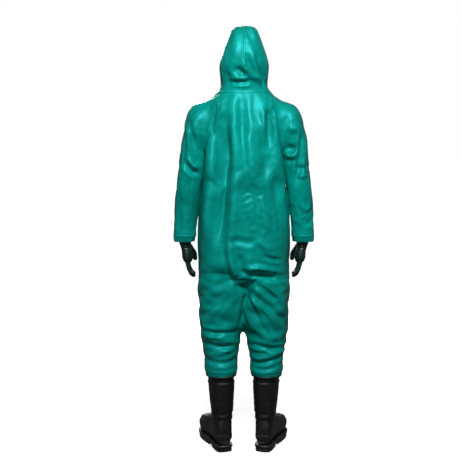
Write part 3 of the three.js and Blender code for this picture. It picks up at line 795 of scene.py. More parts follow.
SLEEVE_FOLDS = [
    ([(0.232, 1.252), (0.210, 1.214), (0.190, 1.204)], 0.010, -0.010),
    ([(0.246, 1.225), (0.215, 1.190), (0.185, 1.176)], 0.010, 0.011),
    ([(0.256, 1.40), (0.246, 1.31), (0.252, 1.22)], 0.012, 0.007),
    ([(0.232, 1.41), (0.214, 1.33), (0.202, 1.27)], 0.010, 0.007),
    ([(0.236, 1.16), (0.238, 1.08), (0.246, 1.00)], 0.011, 0.006),
    ([(0.262, 1.12), (0.262, 1.02), (0.268, 0.94)], 0.010, 0.004),
    ([(-0.178, 1.372), (-0.198, 1.362), (-0.218, 1.366)], 0.012, -0.006),
    ([(-0.172, 1.290), (-0.196, 1.282), (-0.216, 1.290)], 0.012, 0.012),
    ([(-0.170, 1.256), (-0.192, 1.250), (-0.212, 1.256)], 0.010, -0.010),
    ([(-0.240, 1.37), (-0.232, 1.28), (-0.222, 1.20), (-0.214, 1.14)], 0.010, 0.012),
    ([(-0.214, 1.210), (-0.230, 1.200), (-0.250, 1.208)], 0.009, 0.009),
    ([(-0.214, 1.172), (-0.236, 1.168), (-0.262, 1.176)], 0.008, -0.006),
    ([(-0.236, 1.06), (-0.256, 1.03), (-0.272, 1.05)], 0.010, -0.006),
    ([(-0.240, 1.00), (-0.262, 0.97), (-0.280, 0.99)], 0.010, 0.006),
]
FRONT_FOLDS = [
    ([(0.110, 1.34), (0.100, 1.20), (0.108, 1.04)], 0.014, 0.009),
    ([(-0.115, 1.36), (-0.104, 1.22), (-0.112, 1.06)], 0.013, 0.009),
    ([(0.140, 1.30), (0.150, 1.10), (0.150, 0.95)], 0.014, -0.006),
    ([(-0.140, 1.25), (-0.152, 1.08), (-0.150, 0.93)], 0.014, -0.006),
    ([(0.004, 0.750), (0.060, 0.800), (0.130, 0.840)], 0.013, 0.010),
    ([(-0.004, 0.752), (-0.060, 0.796), (-0.140, 0.830)], 0.013, 0.010),
    ([(0.030, 0.700), (0.090, 0.730), (0.160, 0.760)], 0.012, -0.006),
    ([(-0.030, 0.690), (-0.090, 0.715), (-0.160, 0.750)], 0.012, 0.007),
    ([(0.014, 0.520), (0.090, 0.540), (0.180, 0.530)], 0.010, 0.010),
    ([(0.014, 0.470), (0.090, 0.450), (0.176, 0.470)], 0.010, 0.012),
    ([(0.024, 0.410), (0.090, 0.430), (0.166, 0.410)], 0.010, -0.008),
    ([(-0.014, 0.500), (-0.090, 0.480), (-0.180, 0.500)], 0.010, 0.011),
    ([(-0.020, 0.440), (-0.090, 0.455), (-0.172, 0.440)], 0.010, -0.009),
    ([(-0.030, 0.400), (-0.090, 0.388), (-0.160, 0.404)], 0.010, 0.010),
]


def crease(points, facing, here, line, width, depth):
    """How deep one fold is at each point, with a low roll of cloth on each side of it."""
    x, z = points[:, 0], points[:, 2]
    path = curve_through(line, 6 * len(line))
    nearest = np.full(len(points), 1e9)
    along = np.zeros(len(points))
    for i in range(len(path) - 1):
        a, step = path[i], path[i + 1] - path[i]
        t = np.clip(((x - a[0]) * step[0] + (z - a[1]) * step[1]) / (step @ step), 0, 1)
        gap = np.hypot(x - a[0] - t * step[0], z - a[1] - t * step[1])
        closer = gap < nearest
        nearest = np.where(closer, gap, nearest)
        along = np.where(closer, (i + t) / (len(path) - 1), along)
    taper = ease(along, 0.0, 0.25) * ease(along, 1.0, 0.72) * 0.85 + 0.15
    at = nearest / width
    shape = np.exp(-(at**1.5)) - 0.45 * np.exp(-(((at - 1.9) / 0.8) ** 2))
    return depth * shape * taper * facing * here


def folded(suit):
    """Adds the folds, the crinkles of stiff coated cloth, and where they have worn it."""
    mesh = suit.data
    points = coordinates(mesh)
    place = taken(mesh, "place", 3)
    out = normals(mesh)
    sleeves = (np.abs(place[:, 0]) > armhole_x(place[:, 2])).astype(float)
    back = ease(out[:, 1], 0.0, 0.45)
    front = ease(-out[:, 1], 0.1, 0.5) * ease(np.abs(points[:, 0]), 0.05, 0.075)
    low = ease(points[:, 2], 0.80, 0.76)
    front = np.maximum(front, ease(-out[:, 1], 0.1, 0.5) * low)
    wrap = ease(out[:, 1], -0.55, 0.25)  # the folds of the legs and sleeves run on round the sides
    depth = np.zeros(len(points))
    for folds, facing, here in (
        (BACK_FOLDS, np.where(points[:, 2] < 0.56, wrap, back), 1 - sleeves),
        (SLEEVE_FOLDS, wrap, sleeves),
        (FRONT_FOLDS, front, 1 - sleeves),
    ):
        for line, width, deep in folds:
            depth += crease(points, facing, here, line, width, deep)
    depth *= 1 - 0.35 * ease(points[:, 2], 0.62, 0.52)
    x, _, z = points.T
    crumpled = np.exp(-(((x + 0.035) / 0.045) ** 2) - ((z - 1.10) / 0.15) ** 2) * back * (1 - sleeves)
    crumpled += 0.7 * np.exp(-(((x + 0.095) / 0.04) ** 2) - ((z - 0.97) / 0.07) ** 2) * back
    lively = 1 - ease(z, 1.50, 1.54) * 0.3
    sharp = 1 - np.abs(grain(place, 0.085, 3.0)) * 2.2
    fine = 1 - np.abs(grain(place, 0.032, 9.0)) * 2.2
    pinned = 1 - ease(np.abs(x), 0.06, 0.045) * (points[:, 1] < -0.06) * (z > 0.88)
    rise = (0.0011 * sharp + 0.0004 * fine) * lively + 0.0040 * fine * crumpled
    rise *= pinned * ease(z, HEM_Z, HEM_Z + 0.03)
    move = (rise - depth)[:, None] * out
    give(mesh, "worn", np.clip(np.abs(depth) / 0.012, 0, 1) * 0.5 + 0.5 * np.clip(fine, 0, 1) ** 3)
    move_to(mesh, points + move)
    hem_now = ease(z, HEM_Z + 0.05, HEM_Z + 0.012) * 0.5
    legs = 0.35 * ease(z, 0.66, 0.58)
    move_to(mesh, relaxed(mesh, coordinates(mesh), np.clip(0.12 + hem_now + legs, 0, 0.6), 3))


# ---- The panels that the skin is parted into ----

NECK_SPLIT_Z = 1.525
ELBOW_SPLIT_Z = 1.185
SEAT_SPLIT_Z = 0.862
KNEE_SPLIT_Z = 0.64


def panel_of(place, worn):
    """The panel that a spot of the cloth belongs to, from where it was cut and where it is worn."""
    side = "left" if place[0] > 0 else "right"
    if abs(place[0]) > armhole_x(place[2]):
        return ("sleeve_upper_" if worn[2] > ELBOW_SPLIT_Z else "sleeve_lower_") + side
    if worn[2] > NECK_SPLIT_Z:
        return "hood_" + side
    if worn[2] < KNEE_SPLIT_Z:
        return "leg_lower_" + side
    if worn[2] < SEAT_SPLIT_Z:
        return "leg_upper_" + side
    return "back" if place[1] > SIDE_SEAM_Y else "front_" + side


def follow(panel, worn, reach):
    """How far each point of a panel follows the second of its two bodies."""
    x, z = np.abs(worn[:, 0]), worn[:, 2]
    if panel.startswith("hood"):
        return ease(z, NECK_SPLIT_Z + 0.010, 1.60)
    if panel.startswith("sleeve_upper"):
        return ease(reach, 0.004, 0.095)
    if panel.startswith("sleeve_lower"):
        return ease(z, ELBOW_SPLIT_Z - 0.01, 1.02)
    if panel.startswith("leg_upper"):
        middle = ease(z, 0.68, 0.74) * ease(x, 0.045, 0.004)
        return ease(z, SEAT_SPLIT_Z - 0.010, 0.69) * (1 - middle)
    return ease(z, KNEE_SPLIT_Z - 0.04, 0.41)


# The one or two bodies of a panel, and the imported parts that it stands for.
PANELS = {
    "back": (("suit_body",), ("back_panel",)),
    "front_left": (("suit_body",), ("front_left_panel",)),
    "front_right": (("suit_body",), ("front_right_panel",)),
}
for side in SIDES:
    PANELS["hood_" + side] = (("suit_body", "hood"), ("hood_" + side,))
    PANELS["sleeve_upper_" + side] = (("suit_body", "upper_arm_" + side), ("sleeve_upper_" + side,))
    PANELS["sleeve_lower_" + side] = (
        ("upper_arm_" + side, "forearm_" + side),
        ("sleeve_elbow_" + side, "sleeve_lower_" + side),
    )
    PANELS["leg_upper_" + side] = (
        ("suit_body", "thigh_" + side),
        ("seat_back", "seat_front", "trouser_thigh_" + side),
    )
    PANELS["leg_lower_" + side] = (
        ("thigh_" + side, "shin_" + side),
        ("trouser_knee_" + side, "trouser_shin_" + side),
    )


class Spot:
    """A spot of the cloth: where it is worn, its outward way, where it was cut and its reach."""

    def __init__(self, cloth, guide):
        place, cut_out, index, _ = cloth.tree.find_nearest(Vector(guide))
        corners = list(cloth.faces[index])
        share = np.array(poly_3d_calc([Vector(cloth.place[i]) for i in corners], place))
        out = share @ cloth.out[corners]
        self.point = share @ cloth.points[corners]
        self.out = out / np.linalg.norm(out)
        self.place = np.array(place)
        self.cut_out = np.array(cut_out)
        self.reach = float(share @ cloth.reach[corners])


class Cloth:
    """The worn skin, with the way from a spot on the cut cloth to its place on the worn suit."""

    def __init__(self, suit):
        mesh = suit.data
        self.points = coordinates(mesh)
        self.out = normals(mesh)
        self.place = taken(mesh, "place", 3)
        self.worn = taken(mesh, "worn", 1)
        self.reach = self.reach_of_sleeves(mesh)
        self.faces = [tuple(p.vertices) for p in mesh.polygons]
        self.tree = BVHTree.FromPolygons([Vector(p) for p in self.place], self.faces)
        self.panels = [
            panel_of(self.place[list(f)].mean(0), self.points[list(f)].mean(0)) for f in self.faces
        ]

    def reach_of_sleeves(self, mesh):
        """How far each point of a sleeve is from the armhole, along the cloth."""
        edges = np.empty(len(mesh.edges) * 2, np.int64)
        mesh.edges.foreach_get("vertices", edges)
        a, b = edges.reshape(-1, 2).T
        length = np.linalg.norm(self.place[a] - self.place[b], axis=1)
        reach = np.where(np.abs(self.place[:, 0]) > armhole_x(self.place[:, 2]), 1.0, 0.0)
        for _ in range(60):
            near = reach.copy()
            np.minimum.at(near, a, reach[b] + length)
            np.minimum.at(near, b, reach[a] + length)
            reach = near
        return relaxed(mesh, reach[:, None] * np.ones(3), np.full(len(reach), 0.5), 6)[:, 0]


# Across and up, in metres, of a welded seam and of the tape behind one.
WELT = [(-1, -0.0004), (-0.92, 0.0007), (-0.35, 0.0011), (0, 0.0008), (0.35, 0.0011)]
WELT += [(0.92, 0.0007), (1, -0.0004)]
TAPE = [(-1, -0.0013), (1, -0.0013), (1, -0.0019), (-1, -0.0019)]


def strip(cloth, guides, half, section=WELT):
    """A raised or hidden band along guides on the cut suit: its panel, points, places and faces."""
    spots = [Spot(cloth, guide) for guide in guides]
    rows = []
    for i, spot in enumerate(spots):
        ahead = spots[min(i + 1, len(spots) - 1)].place - spots[max(i - 1, 0)].place
        across = np.cross(ahead / (np.linalg.norm(ahead) + 1e-9), spot.cut_out)
        rows.append([Spot(cloth, spot.place + across * half * share) for share, _ in section])
    panels = [panel_of(spot.place, spot.point) for spot in spots]
    made = []
    start = 0
    while start < len(rows) - 1:
        end = start + 1
        while end < len(rows) - 1 and panels[end] == panels[start]:
            end += 1
        spots = [spot for row in rows[start : end + 1] for spot in row]
        ups = [up for _, up in section] * (end - start + 1)
        points = [spot.point + spot.out * up for spot, up in zip(spots, ups)]
        faces = closed_rows(end - start + 1, len(section))
        made.append((panels[start], points, spots, faces))
        start = end
    return made


def ring_guides(x, y, z, half, deep, count=72):
    """Guides round a limb at one height of the cut suit. The last meets the first."""
    turns = np.linspace(0, 2 * math.pi, count)
    return [(x + half * math.sin(a), y - deep * math.cos(a), z) for a in turns]


def seam_guides():
    """Every welded seam of the suit, as guides on the cut cloth, with its half width."""
    sections = {row[0]: row for row in TRUNK}
    heights = sorted(sections)
    side_x = [sections[z][1] for z in heights]
    seams = []
    for k in SIDES.values():
        trunk = [(k * float(np.interp(z, heights, side_x)), SIDE_SEAM_Y, z)
                 for z in np.arange(1.27, 0.79, -0.008)]
        leg = [(k * (LEG_X + float(np.interp(z, [r[0] for r in TROUSER], [r[1] for r in TROUSER]))),
                SIDE_SEAM_Y, z) for z in np.arange(0.79, HEM_Z - LEG_SPARE + 0.012, -0.008)]
        seams.append((trunk + leg, 0.006))
        round_arm = []
        for a in np.linspace(math.radians(-152), math.radians(152), 90):
            z = 1.378 + 0.112 * math.cos(a)
            round_arm.append((k * float(armhole_x(z) - 0.010), 0.012 + 0.112 * math.sin(a), z))
        seams.append((round_arm, 0.006))
        rows = [r for r in reversed(SLEEVE)]
        outer = [(k * (x + 0.75 * h), y + 0.62 * d, z) for z, x, y, h, d in rows]
        outer = [(k * 0.150, 0.075, 1.455), (k * 0.196, 0.070, 1.428)] + outer[1:]
        seams.append((curve_through(outer, 80), 0.005))
        z, x, y, half, deep = SLEEVE[0]
        seams.append((ring_guides(k * x, y, z + 0.036, half, deep), 0.004))
        z, half, deep, y = TROUSER[0]
        seams.append((ring_guides(k * LEG_X, y, z + 0.030, half, deep), 0.004))
        hood = [(k * 0.064, 0.040, 1.772), (k * 0.082, 0.055, 1.72), (k * 0.096, 0.062, 1.66)]
        hood += [(k * 0.100, 0.062, 1.60), (k * 0.090, 0.058, 1.545), (k * 0.088, 0.05, 1.524)]
        seams.append((curve_through(hood, 44), 0.0045))
    crown = [(0, -0.085, 1.745), (0, -0.03, 1.79), (0, 0.04, 1.785), (0, 0.10, 1.74), (0, 0.125, 1.66)]
    crown += [(0, 0.12, 1.60), (0, 0.105, 1.545), (0, 0.1, 1.53)]
    seams.append((curve_through(crown, 80), 0.005))
    seams.append((ring_guides(0, 0, 1.512, 0.109, 0.098, 110), 0.005))
    return seams


def build_panels(cloth, bands):
    """One closed, thin piece of cloth for each panel, with its seams on it."""
    for panel, (bodies, nodes) in PANELS.items():
        mine = [f for f, name in zip(cloth.faces, cloth.panels) if name == panel]
        used = sorted({i for f in mine for i in f})
        new = {old: i for i, old in enumerate(used)}
        count = len(used)
        outer = [tuple(new[i] for i in f) for f in mine]
        edges = {(a, b) for f in outer for a, b in zip(f, f[1:] + f[:1])}
        rim = [(b, a, a + count, b + count) for a, b in sorted(edges) if (b, a) not in edges]
        inner = [tuple(i + count for i in reversed(f)) for f in outer]
        points = [cloth.points[i] for i in used]
        points += [cloth.points[i] - cloth.out[i] * FABRIC_WALL for i in used]
        places = [cloth.place[i] for i in used] * 2
        worn = [cloth.worn[i] for i in used] * 2
        reach = [cloth.reach[i] for i in used] * 2
        faces = outer + inner + rim
        for name, band_points, spots, band_faces in bands:
            if name != panel:
                continue
            start = len(points)
            points += band_points
            places += [spot.place for spot in spots]
            worn += [0.35] * len(spots)
            reach += [spot.reach for spot in spots]
            faces += [tuple(i + start for i in f) for f in band_faces]
        piece = smooth(new_piece(panel + "_skin", points, faces))
        piece.data.materials.append(FABRIC)
        piece.data.materials.append(INSIDE)
        slots = np.zeros(len(faces), np.int32)
        slots[len(outer) : 2 * len(outer)] = 1
        piece.data.polygons.foreach_set("material_index", slots)
        give(piece.data, "place", places)
        give(piece.data, "worn", worn)
        out = normals(piece.data)
        out[:count] = cloth.out[used]
        out[count : 2 * count] = -cloth.out[used]
        piece.data.normals_split_custom_set_from_vertices([tuple(n) for n in out])
        wear(piece, panel, bodies, np.array(reach))
        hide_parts(*nodes)
        a, b, c, d = (cloth.place[[f[i] for f in mine]] for i in range(4))
        cut_area = 0.5 * np.linalg.norm(np.cross(c - a, d - b), axis=1).sum()


def wear(piece, panel, bodies, reach):
    """Puts a piece on its body when there is one; with two, it bakes the piece's place and works out
    each point's share of the second body.
    """
    if len(bodies) == 1:
        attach(piece, bodies[0])
        return
    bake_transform(piece)
    weights = follow(panel, coordinates(piece.data), reach)


# ---- Gloves ----

# x, y, z, half width and half depth of the hand and cuff of a left glove.
HAND = [
    (0.236, -0.036, 0.800, 0.014, 0.030),
    (0.237, -0.035, 0.808, 0.020, 0.039),
    (0.238, -0.034, 0.822, 0.0235, 0.0435),
    (0.240, -0.033, 0.845, 0.0225, 0.0410),
    (0.244, -0.029, 0.864, 0.0215, 0.0330),
    (0.248, -0.024, 0.880, 0.0230, 0.0300),
    (0.248, -0.022, 0.896, 0.0290, 0.0350),
    (0.247, -0.020, 0.912, 0.0350, 0.0410),
    (0.247, -0.019, 0.935, 0.0380, 0.0440),
]
# How far back of the palm's middle each finger is, how far it hangs down and its radius.
FINGERS = [(0.027, 0.060, 0.0100), (0.009, 0.068, 0.0103), (-0.009, 0.064, 0.0100)]
FINGERS += [(-0.026, 0.052, 0.0090)]
THUMB = [(0.236, -0.046, 0.874, 0.013), (0.224, -0.066, 0.852, 0.0125)]
THUMB += [(0.212, -0.078, 0.832, 0.0115), (0.208, -0.081, 0.810, 0.0100)]


def mirrored(piece):
    """Turns a left piece into the right one."""
    points = coordinates(piece.data)
    points[:, 0] *= -1
    move_to(piece.data, points)
    piece.data.flip_normals()
    return piece


def opened(piece, top):
    """Takes away the faces above a height."""
    mesh = bmesh.new()
    mesh.from_mesh(piece.data)
    gone = [f for f in mesh.faces if f.calc_center_median().z > top]
    bmesh.ops.delete(mesh, geom=gone, context="FACES")
    mesh.to_mesh(piece.data)
    mesh.free()
    return piece


def glove(side):
    """A rubber glove with curled fingers, wrinkled at the wrist and open at the cuff."""
    parts = [loft(HAND, sides=36, power=2.2)]
    for back, down, radius in FINGERS:
        y = -0.034 - back
        line = [(0.238, y, 0.826, radius * 1.12), (0.238, y, 0.806, radius * 1.08)]
        line += [(0.234, y, 0.806 - 0.4 * down, radius), (0.224, y, 0.806 - 0.8 * down, radius * 0.97)]
        line += [(0.213, y + 0.001, 0.806 - down + 0.004, radius * 0.9)]
        parts.append(finger(line))
    parts.append(finger(THUMB))
    made = remesh(joined("glove_" + side + "_skin", parts), 0.0021, 3)
    opened(made, CUFF_Z + 0.030)
    points = coordinates(made.data)
    z = points[:, 2]
    wrist = ease(z, 0.842, 0.868) * ease(z, 0.916, 0.892)
    folds = np.sin(z * 520 + 3.0 * points[:, 1] * 60 + 2 * grain(points, 0.02, 5.0))
    knuckles = np.exp(-(((z - 0.778) / 0.003) ** 2)) + np.exp(-(((z - 0.760) / 0.003) ** 2))
    rise = 0.0011 * wrist * folds - 0.0007 * knuckles + 0.0006 * grain(points, 0.014, 2.0)
    move_to(made.data, points + rise[:, None] * normals(made.data))
    walled(made, 0.0014)
    give(made.data, "place", coordinates(made.data))
    if side == "right":
        mirrored(made)
    return finished(smooth(made), "glove_rubber", "forearm_" + side, "glove_" + side)


# ---- Boots ----

HEEL_BACK = 0.072
BALL_HALF = 0.050
TOE_OUT = math.radians(18)
SHAFT_Y = 0.005
# z, y, half width and half depth of the shaft.
SHAFT = [
    (0.075, 0.030, 0.036, 0.036),
    (0.100, 0.026, 0.038, 0.038),
    (0.130, 0.020, 0.041, 0.043),
    (0.165, 0.016, 0.045, 0.048),
    (0.200, 0.013, 0.0497, 0.054),
    (0.280, 0.009, 0.054, 0.0605),
    (0.320, SHAFT_Y, 0.054, 0.063),
    (0.392, SHAFT_Y, 0.054, 0.063),
]
# How far from the heel, half width and height over the sole of the foot.
FOOT = [
    (0.003, 0.020, 0.070),
    (0.010, 0.030, 0.100),
    (0.030, 0.0375, 0.118),
    (0.072, 0.038, 0.124),
    (0.120, 0.039, 0.108),
    (0.170, 0.046, 0.087),
    (0.215, 0.0475, 0.073),
    (0.250, 0.042, 0.067),
    (0.274, 0.030, 0.058),
    (0.287, 0.014, 0.044),
]
# The curves of the sole's edge, from the heel round by the toe, as shares of the ball's half
# width and distances from the heel.
SOLE_EDGE = [
    ((0, 0), (0.62, 0), (0.78, 0.014), (0.76, 0.062)),
    ((0.76, 0.062), (0.72, 0.120), (1, 0.150), (1, 0.200)),
    ((1, 0.200), (1, 0.262), (0.62, 0.292), (0.1, 0.292)),
    ((0.1, 0.292), (-0.55, 0.292), (-0.86, 0.258), (-0.88, 0.204)),
    ((-0.88, 0.204), (-0.88, 0.150), (-0.62, 0.120), (-0.70, 0.062)),
    ((-0.70, 0.062), (-0.78, 0.014), (-0.6, 0), (0, 0)),
]
EDGE_STEPS = 30


def sole_edge():
    """Points round the sole, as x and the distance from the heel."""
    made = []
    for a, b, c, d in SOLE_EDGE:
        for i in range(EDGE_STEPS):
            t = i / EDGE_STEPS
            weights = ((1 - t) ** 3, 3 * t * (1 - t) ** 2, 3 * t * t * (1 - t), t**3)
            x = sum(w * p[0] for w, p in zip(weights, (a, b, c, d))) * BALL_HALF
            made.append((x, sum(w * p[1] for w, p in zip(weights, (a, b, c, d)))))
    return np.array(made)


def placed_foot(piece, side):
    """Turns a boot's piece toe out and puts it under its leg."""
    x, y, z = coordinates(piece.data).T
    y = y - SHAFT_Y
    c, s = math.cos(TOE_OUT), math.sin(TOE_OUT)
    move_to(piece.data, np.stack([LEG_X + x * c - y * s, SHAFT_Y + x * s + y * c, z], 1))
    return mirrored(piece) if side == "right" else piece


def boot_upper(side):
    """The moulded rubber boot, creased over the instep and open at the top."""
    foot, faces = loft([(0.0015, high / 2, s, half, high / 2) for s, half, high in FOOT], 48, 2.5)
    foot = [(x, HEEL_BACK - z, SOLE_TOP_Z + y) for x, y, z in foot]
    shaft = loft([(0, y, z, half, deep) for z, y, half, deep in SHAFT], 48, 2.1)
    made = remesh(joined("boot_upper_" + side + "_skin", [(foot, faces), shaft]), 0.0034, 5)
    opened(made, BOOT_TOP_Z - 0.002)
    points = coordinates(made.data)
    x, y, z = points.T
    out = normals(made.data)
    s = HEEL_BACK - y
    rise = 0.0016 * ease(z, SOLE_TOP_Z + 0.017, SOLE_TOP_Z + 0.014)
    rise += 0.0014 * ease(s - 0.25 * (z - SOLE_TOP_Z), 0.205, 0.211) * ease(z, 0.112, 0.10)
    rise += 0.0022 * ease(z, 0.052, 0.056) * ease(z, 0.075, 0.071) * ease(s, 0.036, 0.030)
    for level, slope, depth in ((0.126, 0.03, 0.0026), (0.152, -0.02, 0.0024), (0.206, 0.03, 0.0010)):
        line = level + slope * np.sin(9 * x / 0.05 + level * 40) * 0.12 + 0.22 * (y - 0.01)
        rise -= depth * np.exp(-(((z - line) / 0.0055) ** 2)) * (0.55 + 0.45 * np.abs(out[:, 1]))
        rise += 0.5 * depth * np.exp(-(((z - line - 0.011) / 0.006) ** 2))
    rise += 0.0014 * grain(points, 0.045, 4.0) * ease(z, 0.09, 0.16)
    rise += 0.0022 * ease(z, HEM_Z - 0.030, HEM_Z - 0.034) * ease(z, HEM_Z - 0.044, HEM_Z - 0.040)
    move_to(made.data, points + rise[:, None] * out)
    points = coordinates(made.data)
    points[:, 2] = np.maximum(points[:, 2], SOLE_TOP_Z + 0.0004)
    move_to(made.data, points)
    walled(made, 0.003)
    placed_foot(smooth(made), side)
    return finished(made, "black_rubber", "shin_" + side, "boot_upper_" + side)


def outsole(side):
    """The heeled sole, with a lip round the upper and notched tread."""
    edge = sole_edge()
    s = edge[:, 1]
    ahead = np.roll(edge, -1, 0) - np.roll(edge, 1, 0)
    out = np.stack([ahead[:, 1], -ahead[:, 0]], 1)
    out /= np.linalg.norm(out, axis=1)[:, None]
    arch = ease(s, 0.082, 0.086) * ease(s, 0.124, 0.112)
    notch = ((s % 0.022) < 0.007) & ((s > 0.13) | (s < 0.07))
    rows = [(0.000, -0.0030, 1), (0.0012, -0.0016, 1), (0.0052, -0.0012, 1), (0.0060, -0.0010, 0)]
    rows += [(0.019, -0.0008, 0), (0.0205, 0.0022, 0), (0.0215, 0.0030, 0), (0.0272, 0.0030, 0)]
    rows += [(0.0284, 0.0022, 0), (SOLE_TOP_Z, 0.0006, 0)]
    points = []
    for z, grow, tread in rows:
        inset = grow - 0.0045 * notch * tread
        low = np.maximum(z, 0.012 * arch)
        at = edge + out * inset[:, None]
        points += list(zip(at[:, 0], HEEL_BACK - at[:, 1], low))
    around = len(edge)
    faces = closed_rows(len(rows), around)[:-2]
    half = around // 2
    for start, turn in ((0, 1), ((len(rows) - 1) * around, -1)):
        for i in range(half):
            pair = [i, i + 1, (around - i - 1) % around, (around - i) % around]
            face = list(dict.fromkeys(start + p for p in pair))
            if len(face) > 2:
                faces.append(tuple(face[::turn]))
    made = new_piece("boot_outsole_" + side + "_tread", points, faces)
    faced_outwards(made)
    placed_foot(made, side)
    return finished(made, "black_rubber", "shin_" + side, "boot_outsole_" + side)


def seal_ring(side):
    """The rubber ring between the trouser hem and the boot, with a rolled lip below the hem."""
    k = SIDES[side]
    _, half, deep, y0 = TROUSER[0]
    hem_wall = 0.0014
    outer = loft([(LEG_X * k, y0, 0, half - hem_wall, deep - hem_wall)], 96)[0]
    low, high = HEM_Z - 0.006, HEM_Z + 0.024
    section = [(0.0, high), (0.0, low + 0.004), (0.10, low + 0.001), (0.3, low), (0.7, low)]
    section += [(0.9, low + 0.001), (0.95, low + 0.003), (0.95, HEM_Z - 0.0015)]
    section += [(0.50, HEM_Z + 0.003), (0.50, high)]
    points = []
    for x, y, _ in outer:
        across = np.array([x - LEG_X * k, y - SHAFT_Y])
        a = math.atan2(across[1], across[0]) - k * TOE_OUT
        near = 1 / math.hypot(math.cos(a) / 0.0552, math.sin(a) / 0.0642)
        across_out = across / np.linalg.norm(across)
        for share, z in section:
            reach = near + share * (np.linalg.norm(across) - near)
            points.append((LEG_X * k + across_out[0] * reach, SHAFT_Y + across_out[1] * reach, z))
    faces = ring_faces(len(outer), len(section))
    made = smooth(new_piece("boot_seal_ring_" + side + "_lip", points, faces))
    return finished(made, "black_rubber", "shin_" + side, "boot_seal_ring_" + side)


# ---- The face opening ----


def face_lip(cloth):
    """The rubber lip that grips the mask: a band behind the hood's edge that ends in a bead."""
    section = [(1.10, 0.0016), (1.02, 0.0018), (0.94, 0.0020), (0.86, 0.0038), (0.80, 0.0062)]
    section += [(0.775, 0.0058), (0.765, 0.0078), (0.775, 0.0100), (0.80, 0.0104), (0.86, 0.0066)]
    section += [(0.94, 0.0044), (1.02, 0.0038), (1.10, 0.0034)]
    points = []
    turns = np.linspace(0, 2 * math.pi, 120, endpoint=False)
    for a in turns:
        across = np.array([FACE_HALF * math.cos(a), 0, FACE_TALL * math.sin(a)])
        edge = Spot(cloth, (across[0] * 1.03, -0.10, FACE_Z + across[2] * 1.03))
        ripple = 0.0006 * math.sin(13 * a) + 0.0004 * math.sin(29 * a)
        for share, back in section:
            spot = edge.point - across * (1.03 - share)
            spot[1] += back + ripple * max(0, 1.0 - share) * 4
            points.append(spot)
    faces = [face[::-1] for face in ring_faces(len(turns), len(section))]
    made = smooth(new_piece("face_seal_lip", points, faces))
    made.data.materials.append(BLACK)
    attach(made, "hood")
    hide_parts("face_seal")


def hood_tape(cloth):
    """The tape that is welded over the hood's middle seam, inside."""
    crown = seam_guides()[-2][0]
    points, reach, faces = [], [], []
    for panel, band, spots, band_faces in strip(cloth, crown, 0.010, TAPE):
        if not panel.startswith("hood"):
            continue
        faces += [tuple(i + len(points) for i in f) for f in band_faces]
        points += band
        reach += [spot.reach for spot in spots]
    made = smooth(new_piece("hood_seam_tape_strip", points, faces))
    give(made.data, "place", coordinates(made.data))
    made.data.materials.append(INSIDE)
    wear(made, "hood_left", ("suit_body", "hood"), np.array(reach))
    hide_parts("hood_seam_tape")


# ---- The front closure ----

UP = np.array(JOINTS["zip_slide"]["axis"], float) * -1
IN = np.array([0, UP[2], -UP[1]])
ZIP_RUN = (ZIP_TOP_Z - ZIP_LOW_Z) / UP[2]
ZIP_FOOT = np.array([0, -0.1384, 0.925])
TAPE_DEPTH = 0.0046
FLAP_LENGTH = ZIP_RUN - 0.054
FLAP_WALL = 0.0012
FLAP_PROFILE = [(0.042, 0.0002), (0.037, -0.0012), (0.032, -0.0030), (0.024, -0.0063)]
FLAP_PROFILE += [(0.015, -0.0092), (0.006, -0.0101), (-0.006, -0.0101), (-0.015, -0.0092)]
FLAP_PROFILE += [(-0.020, -0.0068), (-0.0245, -0.0054), (-0.032, -0.0052), (-0.040, -0.0052)]


def on_front(x, depth, along):
    """A point in the zip's own frame: across, into the suit and up from the zip's foot."""
    return np.array([x, 0, 0]) + ZIP_FOOT + IN * depth + UP * along


def front_strip(name, profile, low, high, wall, wave):
    """A strip of fabric along the front closure, with a welded border and a slight wave."""
    line = curve_through(profile, 4 * len(profile))
    rows = 110
    points = []
    for inner in (0, 1):
        for i in range(rows):
            share = i / (rows - 1)
            for x, depth in line:
                side = (x - line[:, 0].min()) / np.ptp(line[:, 0])
                corner = 0.012 * max(0, 1 - side / 0.14) ** 2
                end = low + (high - low) * share
                end += corner * max(0, 1 - share * 12) - corner * max(0, 1 - (1 - share) * 12)
                free = 1 - side
                bend = wave * free * math.sin(end * 41 + 1.1) * (0.6 + 0.4 * math.sin(end * 97))
                border = min(side, 1 - side) * np.ptp(line[:, 0]) < 0.005
                border = border or min(end - low, high - end) < 0.005
                raised = 0.0004 if border else 0
                points.append(on_front(x, depth - bend - raised + inner * (wall + 2 * raised), end))
    across = len(line)
    faces = []
    for i in range(rows - 1):
        for j in range(across - 1):
            a = i * across + j
            far = a + rows * across
            faces.append((a, a + 1, a + 1 + across, a + across))
            faces.append((far, far + across, far + 1 + across, far + 1))
    edge = [j for j in range(across)] + [i * across + across - 1 for i in range(1, rows)]
    edge += [(rows - 1) * across + j for j in range(across - 2, -1, -1)]
    edge += [i * across for i in range(rows - 2, 0, -1)]
    for a, b in zip(edge, edge[1:] + edge[:1]):
        faces.append((a, a + rows * across, b + rows * across, b))
    made = smooth(new_piece(name, points, faces))
    faced_outwards(made)
    give(made.data, "place", coordinates(made.data))
    give(made.data, "worn", np.zeros(len(made.data.vertices)))
    return made


def box_part(x0, x1, depth0, depth1, low, high):
    corners = [(x0, depth0), (x1, depth0), (x1, depth1), (x0, depth1)]
    points = [on_front(x, depth, along) for along in (low, high) for x, depth in corners]
    return points, closed_rows(2, 4)


